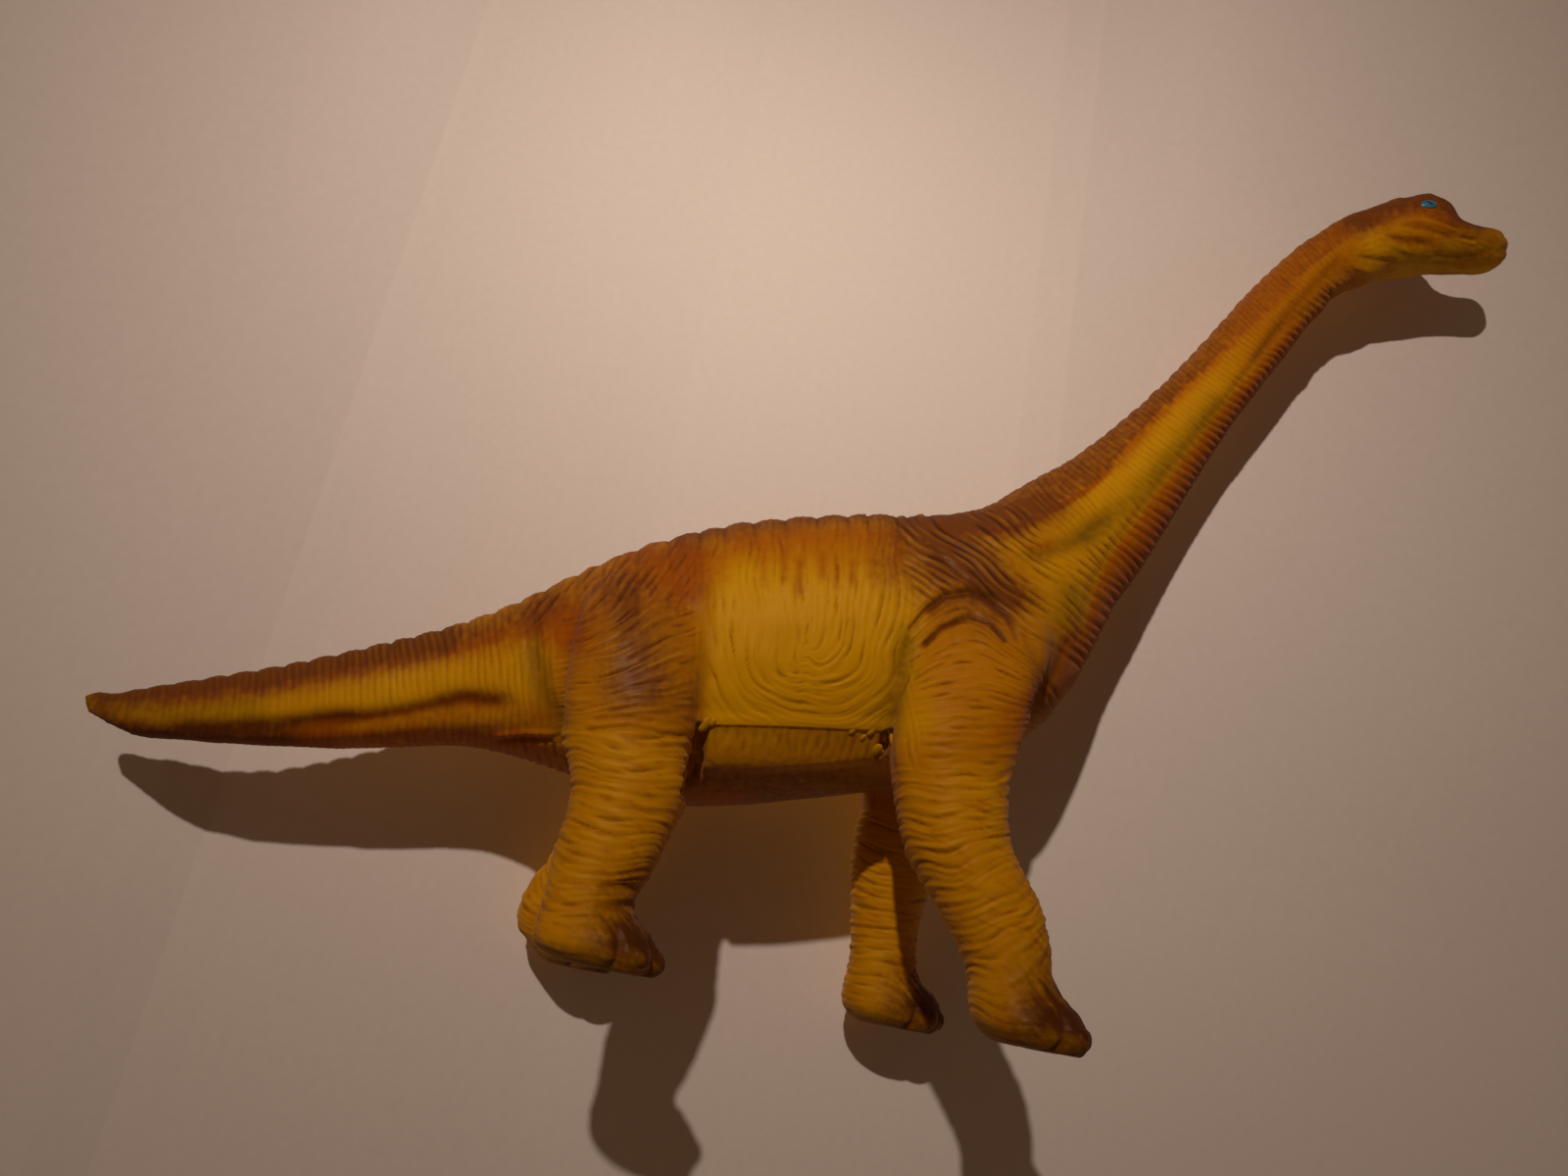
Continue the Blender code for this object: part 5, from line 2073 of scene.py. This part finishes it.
@dataclass(frozen=True)
class Domes:
    """Small domes that Geometry Nodes set on points.

    Attributes:
        length: Half length, in mm.
        width: Half width, in mm.
        height: Half height, in mm.
        unevenness: How much their sizes differ, from 0 to 1.
        seed: Picks the sizes.
    """

    length: float
    width: float
    height: float
    unevenness: float
    seed: int

    def _tree(self) -> bpy.types.NodeTree:
        """Builds the nodes.

        Returns:
            A tree with a named input for each size.
        """
        tree = bpy.data.node_groups.new("domes", "GeometryNodeTree")
        kinds = {"Geometry": "Geometry", "Length": "Float", "Width": "Float", "Height": "Float",
                 "Unevenness": "Float", "Seed": "Int", "Material": "Material"}
        for label, kind in kinds.items():
            tree.interface.new_socket(label, in_out="INPUT", socket_type="NodeSocket" + kind)
        tree.interface.new_socket("Geometry", in_out="OUTPUT", socket_type="NodeSocketGeometry")
        g = Graph(tree)
        given = g.node("NodeGroupInput").outputs
        kept = {name: g.node("GeometryNodeInputNamedAttribute", {"data_type": kind},
                             Name=name).outputs["Attribute"]
                for name, kind in (("up", "FLOAT_VECTOR"), ("ahead", "FLOAT_VECTOR"),
                                   ("size", "FLOAT"))}
        turn = g.node("FunctionNodeAxesToRotation", {"primary_axis": "Z", "secondary_axis": "X"},
                      Primary_Axis=kept["up"], Secondary_Axis=kept["ahead"])
        loose = Value(g, given["Unevenness"])
        chance = g.value("FunctionNodeRandomValue", 1, {"data_type": "FLOAT"},
                         n2=1.0 - loose, n3=1.0 + loose, n8=given["Seed"])
        size = chance * kept["size"]
        scale = g.node("ShaderNodeCombineXYZ", X=size * given["Length"],
                       Y=size * given["Width"], Z=size * given["Height"])
        dome = g.node("GeometryNodeMeshUVSphere", Segments=16, Rings=10, Radius=1.0)
        set_out = g.node("GeometryNodeInstanceOnPoints", Points=given["Geometry"],
                         Instance=dome.outputs[0], Rotation=turn.outputs[0],
                         Scale=scale.outputs[0])
        real = g.node("GeometryNodeRealizeInstances", Geometry=set_out.outputs[0])
        dressed = g.node("GeometryNodeSetMaterial", Geometry=real.outputs[0],
                         Material=given["Material"])
        g.node("NodeGroupOutput", Geometry=dressed.outputs[0])
        return tree

    def grow(self, places: np.ndarray, up: np.ndarray, ahead: np.ndarray, size: np.ndarray,
             material: bpy.types.Material) -> bpy.types.Mesh:
        """Sets the domes out.

        Args:
            places: Their places, in mm.
            up: Which way is up at each.
            ahead: Which way their length runs at each.
            size: Factor on their sizes at each.
            material: What they are made of.

        Returns:
            All domes as one mesh.
        """
        mesh = bpy.data.meshes.new("places")
        mesh.from_pydata((places * MM).tolist(), [], [])
        for name, values in (("up", up), ("ahead", ahead), ("size", size)):
            write_layer(mesh, name, values)
        tree = self._tree()
        work = link("domes", mesh)
        grown = work.modifiers.new("domes", "NODES")
        grown.node_group = tree
        values = {"Length": self.length * MM, "Width": self.width * MM,
                  "Height": self.height * MM, "Unevenness": self.unevenness, "Seed": self.seed,
                  "Material": material}
        for item in tree.interface.items_tree:
            if item.in_out == "INPUT" and item.name in values:
                grown[item.identifier] = values[item.name]
        return baked(work)


@dataclass
class BackScutes:
    """The row of low scutes on the humps of the tail, the back and the neck.

    Attributes:
        domes: The scutes of each row of humps.
        sunk: Share of a scute's height that lies in the skin.
        tail_end: Runs along the spine between which they grow to their full size, in mm.
        neck_end: Runs between which they shrink again.
        smaller: Their sizes at the tail's tip and at the head.
        crest: How far their skin counts as a crest, for the painted highlight and the worn brown.
    """

    domes: tuple[Domes, ...] = (
        Domes(2.5, 1.9, 1.0, 0.08, 3),
        Domes(3.1, 2.2, 1.1, 0.10, 5),
        Domes(1.75, 1.7, 0.6, 0.10, 7),
    )
    sunk: float = 0.55
    tail_end: tuple[float, float] = (5, 60)
    neck_end: tuple[float, float] = (300, 336)
    smaller: tuple[float, float] = (0.5, 0.8)
    crest: float = 0.35

    def build(self, sculptor: Sculptor, paint: PaintLookup, material: bpy.types.Material) -> None:
        """Grows the rows.

        Args:
            sculptor: Knows the line of the back.
            paint: The skin's paint.
            material: The body's vinyl.
        """
        for row, domes in zip(HUMPS, self.domes):
            crests = row.crests()
            line = sculptor.ridge(crests)
            ahead = np.gradient(line, axis=0)
            ahead /= np.linalg.norm(ahead, axis=1)[:, None]
            flat = np.zeros(len(line))
            forward = np.stack([ahead[:, 0], flat, ahead[:, 1]], axis=1)
            up = np.stack([-ahead[:, 1], flat, ahead[:, 0]], axis=1)
            size = blend(self.smaller[0], 1, smoothstep(crests, *self.tail_end))
            size = size * blend(1, self.smaller[1], smoothstep(crests, *self.neck_end))
            places = np.stack([line[:, 0], flat, line[:, 1]], axis=1)
            places -= up * (self.sunk * domes.height * size)[:, None]
            mesh = domes.grow(places, up, forward, size, material)
            paint.paint(mesh)
            write_layer(mesh, "crest", np.full(len(mesh.vertices), self.crest))
            finish_piece(mesh, row.name + "_scutes", Mouldings.BODY.value, material)


@dataclass
class Toenails:
    """The blunt nails of the four feet.

    Attributes:
        level: Height of their middles, in mm.
        band: How far from it the skin is read, in mm.
        beside: How far from a nail's angle it is read, in degrees.
        sunk: Depth of their middles in the skin, in mm.
        sizes: Factors on the sizes of a foot's nails.
        darker: What is added to the toes' paint on them.
        domes: Their shape.
    """

    level: float = 2.9
    band: float = 0.7
    beside: float = 4.0
    sunk: float = 0.55
    sizes: tuple[float, ...] = (0.9, 1.0, 0.9)
    darker: float = 0.15
    domes: Domes = Domes(1.9, 1.75, 1.15, 0.06, 11)

    def build(self, sculptor: Sculptor, paint: PaintLookup, material: bpy.types.Material) -> None:
        """Grows each foot's nails.

        Args:
            sculptor: Knows the skin.
            paint: The skin's paint.
            material: The legs' vinyl.
        """
        x, y, z = sculptor.points.T
        for leg in LEGS:
            foot = Foot.of(leg)
            held = np.flatnonzero(sculptor.own(leg) & (np.abs(z - self.level) < self.band))
            turn, _ = foot.turn(x[held], y[held])
            places, up = [], []
            for angle in foot.nails:
                near = held[np.abs(turn - angle) < self.beside]
                places.append(sculptor.points[near].mean(0))
                up.append(sculptor.normals[near].mean(0))
            up = np.array(up) / np.linalg.norm(up, axis=1)[:, None]
            rise = np.array([0, 0, 1.0]) - up * up[:, 2:3]
            places = np.array(places) - self.sunk * up
            mesh = self.domes.grow(places, up, rise, np.array(self.sizes), material)
            paint.paint(mesh, toe=self.darker)
            finish_piece(mesh, leg.value + "_nails", leg.value, material)


@dataclass
class GlueBeads:
    """Beads of glue that were squeezed out at the ends of the belly plate's seam.

    Attributes:
        places: Their places in the side view, in mm, and their sizes.
        lean: Which way their length runs.
        masks: What their masks say.
        domes: Their shape.
    """

    places: tuple[tuple[float, float, float], ...] = (
        (7.2, 54.9, 0.8), (8.6, 56.3, 0.8), (10.2, 53.0, 1.2), (11.4, 51.6, 0.9),
        (11.6, 56.6, 1.2), (13.2, 55.4, 1.1), (11.0, 54.8, 0.9), (4.7, 55.7, 0.7),
        (-26.9, 50.3, 1.0), (-25.8, 51.4, 1.2), (-24.4, 52.2, 0.8),
    )
    lean: tuple[float, float, float] = (0.3, 0.0, 1.0)
    masks: tuple[tuple[str, float], ...] = (("sun", 0.9), ("olive", 0.2))
    domes: Domes = Domes(1.25, 0.8, 0.45, 0.25, 17)

    def build(self, sculptor: Sculptor, material: bpy.types.Material) -> None:
        """Sets the beads on both sides.

        Args:
            sculptor: Knows the skin.
            material: The glue.
        """
        spots = [sculptor.nearest(u, v, side) for side in (-1, 1) for u, v, _ in self.places]
        size = np.array([size for _, _, size in self.places] * 2)
        up = sculptor.normals[spots]
        rise = np.array(self.lean) - up * (up @ np.array(self.lean))[:, None]
        mesh = self.domes.grow(sculptor.points[spots], up, rise, size, material)
        for name, value in self.masks:
            write_layer(mesh, name, np.full(len(mesh.vertices), value))
        finish_piece(mesh, "glue_beads", Mouldings.PLATE.value, material)


@dataclass(frozen=True)
class EyePaint:
    """Glossy blue eye paint with a dark slit.

    Attributes:
        blue: Colour of the eye.
        deep: Its darker patches.
        dark: Colour of the slit.
        rough: Roughness.
    """

    blue: Colour = (0.045, 0.25, 0.42, 1)
    deep: Colour = (0.022, 0.15, 0.26, 1)
    dark: Colour = (0.010, 0.022, 0.030, 1)
    rough: float = 0.30

    def material(self) -> bpy.types.Material:
        """Builds the material.

        Returns:
            A material that reads the slit's mask.
        """
        made, g, place = new_material("eye_paint")
        cloud = g.noise(place, 1600.0, 2.0)
        colour = g.mix((cloud * 1.6 - 0.4).clamped(), self.blue, self.deep)
        colour = g.mix(g.mask("slit"), colour, self.dark)
        shader = g.node("ShaderNodeBsdfPrincipled", Base_Color=colour,
                        Roughness=(self.rough + (cloud - 0.5) * 0.1).clamped())
        g.node("ShaderNodeOutputMaterial", Surface=shader.outputs[0])
        return made


@dataclass
class Eyes:
    """Two painted almond-shaped eyes.

    Attributes:
        place: Their place in the side view, in mm.
        length: Length from corner to corner, in mm.
        height: Height in the middle, in mm.
        proud: How far they stand out, in mm.
        tilt: How far the front corner dips, in degrees.
        sunk: How deep they reach into the skin, in mm.
        lift: Height of their rims over the skin, in mm.
        bluntness: Power of the almond's outline.
        slit_half: Half width and half length of the dark slit, in mm.
        slit_lean: How far it leans forward for each mm of height.
        slit_off: How far it lies behind and below the middle, in mm.
        round: Radius within which the skin's direction is read, in mm.
        grid: Points along and across each half.
    """

    place: tuple[float, float] = (130.1, 220.0)
    length: float = 4.6
    height: float = 2.9
    proud: float = 0.55
    tilt: float = 20.0
    sunk: float = 0.7
    lift: float = 0.05
    bluntness: float = 2.2
    slit_half: tuple[float, float] = (0.36, 0.75)
    slit_lean: float = 0.55
    slit_off: float = 0.1
    round: float = 1.2
    grid: tuple[int, int] = (25, 13)

    def build(self, sculptor: Sculptor, material: bpy.types.Material) -> None:
        """Makes both eyes.

        Args:
            sculptor: Knows the skin.
            material: The eye paint.
        """
        for side, name in ((-1, "eye_right"), (1, "eye_left")):
            n = sculptor.nearest(*self.place, side)
            away = np.linalg.norm(sculptor.points - sculptor.points[n], axis=1)
            near = away < self.round
            out = Vector(sculptor.normals[near].mean(0)).normalized()
            place = Vector(sculptor.points[n])
            ahead = (Vector((1, 0, 0)) - out * out.x).normalized()
            up = ahead.cross(out) * side * -1
            tilt = math.radians(self.tilt)
            axes = (ahead * math.cos(tilt) - up * math.sin(tilt),
                    up * math.cos(tilt) + ahead * math.sin(tilt), out)
            mesh = self._almond(name, place, axes)
            finish_piece(mesh, name, Mouldings.BODY.value, material)

    def _almond(self, name: str, place: Vector, axes: tuple) -> bpy.types.Mesh:
        """Makes one eye.

        Args:
            name: Its name.
            place: Its middle on the skin, in mm.
            axes: Its directions ahead, up and out.

        Returns:
            A closed almond-shaped dome.
        """
        columns, rows = (np.linspace(-1, 1, count) for count in self.grid)
        made = bmesh.new()
        slit = made.verts.layers.float.new("slit")
        for face, depth in ((1, self.proud), (-1, self.sunk)):
            grid = []
            for s in columns:
                half = self.height / 2 * (1 - abs(s) ** self.bluntness)
                row = []
                for t in rows:
                    x, y = s * self.length / 2, t * half
                    z = face * depth * (1 - s * s) * (1 - t * t)
                    at = place + axes[0] * x + axes[1] * y + axes[2] * (z + self.lift)
                    vertex = made.verts.new(at * MM)
                    vertex[slit] = self._slit(x, y)
                    row.append(vertex)
                grid.append(row)
            for one, two in zip(grid, grid[1:]):
                for b in range(len(rows) - 1):
                    made.faces.new((one[b], two[b], two[b + 1], one[b + 1]))
        bmesh.ops.remove_doubles(made, verts=made.verts[:], dist=2e-6)
        bmesh.ops.dissolve_degenerate(made, dist=1e-7, edges=made.edges[:])
        bmesh.ops.recalc_face_normals(made, faces=made.faces[:])
        return built_mesh(made, name)

    def _slit(self, x: float, y: float) -> float:
        """Tells the dark slit from the rest of the eye.

        Args:
            x: Place ahead of the eye's middle, in mm.
            y: Place above it.

        Returns:
            1 in the slit, 0 beside it.
        """
        wide, tall = self.slit_half
        past = max(0.0, abs(y + self.slit_off) - tall)
        away = abs(x + self.slit_off - self.slit_lean * y) + past * 3
        return float(np.clip(1.5 - away / wide, 0, 1))


@dataclass
class Studio:
    """Camera, lamps, the pale board behind the toy and the pale floor under it.

    Attributes:
        sensor: Width of the camera's sensor, in mm.
        lens: Its focal length, in mm.
        eye: Its place, in metres, as are all places here.
        rise: How far it looks up, in degrees.
        roll: How far it is turned about its view, in degrees.
        lamp: Place of the key lamp.
        lit: Place that it points at.
        key_power: Its power, in watts.
        key_colour: Its colour.
        key_size: Its radius.
        key_angle: Full angle of its cone, in degrees.
        pool: Slope off its axis at which its light has fallen to a half.
        back_aim: Direction in which the light from behind travels.
        back_power: Its strength.
        back_colour: Its colour.
        back_angle: How wide it looks, in degrees.
        room: Colour of the room's light.
        board_place: Distance of the board behind the middle of the toy.
        board_curve: How far it bends forward beside the tail and beside the head.
        board_tail: Share, start and end of each step of the bend beside the tail.
        board_head: Forward places between which the bend beside the head comes and goes.
        board_levels: Heights between which that bend sets in.
        board_edges: Heights of its lower and upper edges.
        reach: Half length of the board.
        floor: Half length of the floor.
        papers: Darkest and palest tone of their paper.
    """

    sensor: float = 36.0
    lens: float = 27.09
    eye: tuple[float, ...] = tuple(place * MM for place in SideView.eye)
    rise: float = 20.0
    roll: float = 10.55
    lamp: tuple[float, float, float] = (-0.225, -1.03, 0.535)
    lit: tuple[float, float, float] = (-0.035, 0.04, 0.195)
    key_power: float = 44.0
    key_colour: tuple[float, float, float] = (1.0, 0.80, 0.66)
    key_size: float = 0.014
    key_angle: float = 80.0
    pool: float = 0.15
    back_aim: tuple[float, float, float] = (0.5, -1.0, -0.7)
    back_power: float = 1.1
    back_colour: tuple[float, float, float] = (1.0, 0.84, 0.72)
    back_angle: float = 30.0
    room: Colour = (0.088, 0.049, 0.027, 1)
    board_place: float = 0.040
    board_curve: tuple[float, float] = (0.023, 0.021)
    board_tail: tuple[tuple[float, float, float], ...] = (
        (0.42, -0.04, -0.08), (0.58, -0.122, -0.15),
    )
    board_head: tuple[tuple[float, float], ...] = ((0.038, 0.078), (0.32, 0.2))
    board_levels: tuple[float, float] = (0.03, 0.11)
    board_edges: tuple[float, float] = (-0.6, 0.75)
    reach: float = 0.75
    floor: float = 0.9
    papers: tuple[Colour, Colour] = ((0.70, 0.655, 0.62, 1), (0.76, 0.715, 0.68, 1))

    def build(self) -> None:
        """Sets everything up."""
        self._camera()
        self._lamps()
        self._sheets()
        view = bpy.context.scene.view_settings
        view.view_transform = "Standard"
        view.look = "None"

    def _camera(self) -> None:
        """Places the camera at the picture's angle."""
        rise, roll = math.radians(self.rise), math.radians(self.roll)
        ahead = Vector((0, math.cos(rise), math.sin(rise)))
        up = Vector((0, -math.sin(rise), math.cos(rise)))
        right = Vector((1, 0, 0))
        own_right = right * math.cos(roll) + up * math.sin(roll)
        own_up = up * math.cos(roll) - right * math.sin(roll)
        data = bpy.data.cameras.new("camera")
        data.sensor_width = self.sensor
        data.lens = self.lens
        data.clip_start = 0.01
        camera = bpy.data.objects.new("camera", data)
        turn = Matrix((own_right, own_up, -ahead)).transposed().to_4x4()
        camera.matrix_world = Matrix.Translation(self.eye) @ turn
        bpy.context.scene.collection.objects.link(camera)
        bpy.context.scene.camera = camera

    def _lamp(self, name: str, kind: str, aim: tuple[float, float, float], energy: float,
              colour: tuple[float, float, float], **settings: float) -> bpy.types.Object:
        """Adds a lamp.

        Args:
            name: Its name.
            kind: Its type.
            aim: Direction in which its light travels.
            energy: Its strength.
            colour: Its colour.
            **settings: More of the lamp's properties.

        Returns:
            The lamp.
        """
        data = bpy.data.lights.new(name, kind)
        data.energy = energy
        data.color = colour
        for key, value in settings.items():
            setattr(data, key, value)
        lamp = bpy.data.objects.new(name, data)
        lamp.rotation_euler = Vector(aim).to_track_quat("-Z", "Y").to_euler()
        bpy.context.scene.collection.objects.link(lamp)
        return lamp

    def _lamps(self) -> None:
        """A warm key lamp from the front, a dim one from behind, and a little room light."""
        aim = Vector(self.lit) - Vector(self.lamp)
        key = self._lamp("key", "SPOT", aim, self.key_power, self.key_colour,
                         shadow_soft_size=self.key_size, spot_blend=0.6,
                         spot_size=math.radians(self.key_angle))
        key.location = self.lamp
        key.data.use_nodes = True
        g = Graph(key.data.node_tree)
        turned = g.node("ShaderNodeTexCoord").outputs["Normal"]
        parts = g.node("ShaderNodeSeparateXYZ", Vector=turned)
        x, y, z = (Value(g, output) for output in parts.outputs)
        off = (x * x + y * y) / (z * z)
        glow = g.node("ShaderNodeEmission", Strength=1.0 / (1.0 + off / self.pool**2))
        g.node("ShaderNodeOutputLight", Surface=glow.outputs[0])
        back = self._lamp("back", "SUN", self.back_aim, self.back_power, self.back_colour,
                          angle=math.radians(self.back_angle))
        back.visible_glossy = False
        world = bpy.data.worlds.new("room")
        world.use_nodes = True
        g = Graph(world.node_tree)
        room = g.node("ShaderNodeBackground", Color=self.room, Strength=1.0)
        g.node("ShaderNodeOutputWorld", Surface=room.outputs[0])
        bpy.context.scene.world = world

    def _sheets(self) -> None:
        """The board and the floor, each seen from its front only."""
        board, floor = self._board(), self._floor()
        for sheet in (board, floor):
            sheet.data.materials.append(self._paper(sheet.name + "_paper"))
            sheet.visible_shadow = False
            sheet.visible_glossy = False
        floor.visible_diffuse = False

    def _board(self) -> bpy.types.Object:
        """Makes the board, which curves gently towards the toy beside it.

        Returns:
            A sheet that faces the camera.
        """
        ahead = np.linspace(-self.reach, self.reach, 151)
        behind = sum(share * smoothstep(ahead, *ends) for share, *ends in self.board_tail)
        before = math.prod(smoothstep(ahead, *ends) for ends in self.board_head)
        made = bmesh.new()
        rows = []
        bottom, top = self.board_edges
        for z in (bottom, *np.linspace(*self.board_levels, 9), top):
            raised = before * smoothstep(z, *self.board_levels)
            deep = self.board_place - self.board_curve[0] * behind - self.board_curve[1] * raised
            rows.append([made.verts.new((x, y, z)) for x, y in zip(ahead, deep)])
        for low, high in zip(rows, rows[1:]):
            for n in range(len(ahead) - 1):
                made.faces.new((low[n], low[n + 1], high[n + 1], high[n]))
        mesh = built_mesh(made, "board")
        mesh.polygons.foreach_set("use_smooth", np.ones(len(mesh.polygons), bool))
        mesh.normals_split_custom_set_from_vertices([(0, -1, 0)] * len(mesh.vertices))
        return link("board", mesh)

    def _floor(self) -> bpy.types.Object:
        """Makes the flat floor.

        Returns:
            A sheet that faces up.
        """
        corners = [(x * self.floor, y * self.floor, 0)
                   for x, y in ((-1, -1), (1, -1), (1, 1), (-1, 1))]
        mesh = bpy.data.meshes.new("floor")
        mesh.from_pydata(corners, [], [(0, 1, 2, 3)])
        return link("floor", mesh)

    def _paper(self, name: str) -> bpy.types.Material:
        """Pale matt surface that only its front shows.

        Args:
            name: The material's name.

        Returns:
            The material.
        """
        made, g, place = new_material(name)
        paper = g.node("ShaderNodeBsdfDiffuse",
                       Color=g.mix(g.noise(place, 500.0, 2.0), *self.papers))
        clear = g.node("ShaderNodeBsdfTransparent")
        back = g.node("ShaderNodeNewGeometry").outputs["Backfacing"]
        mixed = g.node("ShaderNodeMixShader", n0=back, n1=paper.outputs[0], n2=clear.outputs[0])
        g.node("ShaderNodeOutputMaterial", Surface=mixed.outputs[0])
        return made


def main() -> None:
    """Builds the figure and its studio."""
    Studio().build()
    log.info("studio ready")
    skin = Skin().build()
    log.info("skin: %d faces", len(skin.polygons))
    sculptor = Sculptor(skin)
    sculptor.sculpt()
    log.info("sculpted")
    paint = PaintLookup(skin)
    body_vinyl, leg_vinyl, plate_vinyl = (
        Vinyl(name).material() for name in ("body_vinyl", "leg_vinyl", "belly_vinyl")
    )
    BellyPlate().build(skin, paint, plate_vinyl)
    Legs().build(skin, paint, leg_vinyl)
    BodyShell().build(skin, paint, body_vinyl)
    BackScutes().build(sculptor, paint, body_vinyl)
    Toenails().build(sculptor, paint, leg_vinyl)
    GlueBeads().build(sculptor, Vinyl("glue", rough=0.25).material())
    Eyes().build(sculptor, EyePaint().material())
    log.info("all pieces ready")


if __name__ == "__main__":
    logging.basicConfig(level=logging.INFO, format="%(relativeCreated)6d ms %(message)s")
    main()
    bpy.context.view_layer.update()
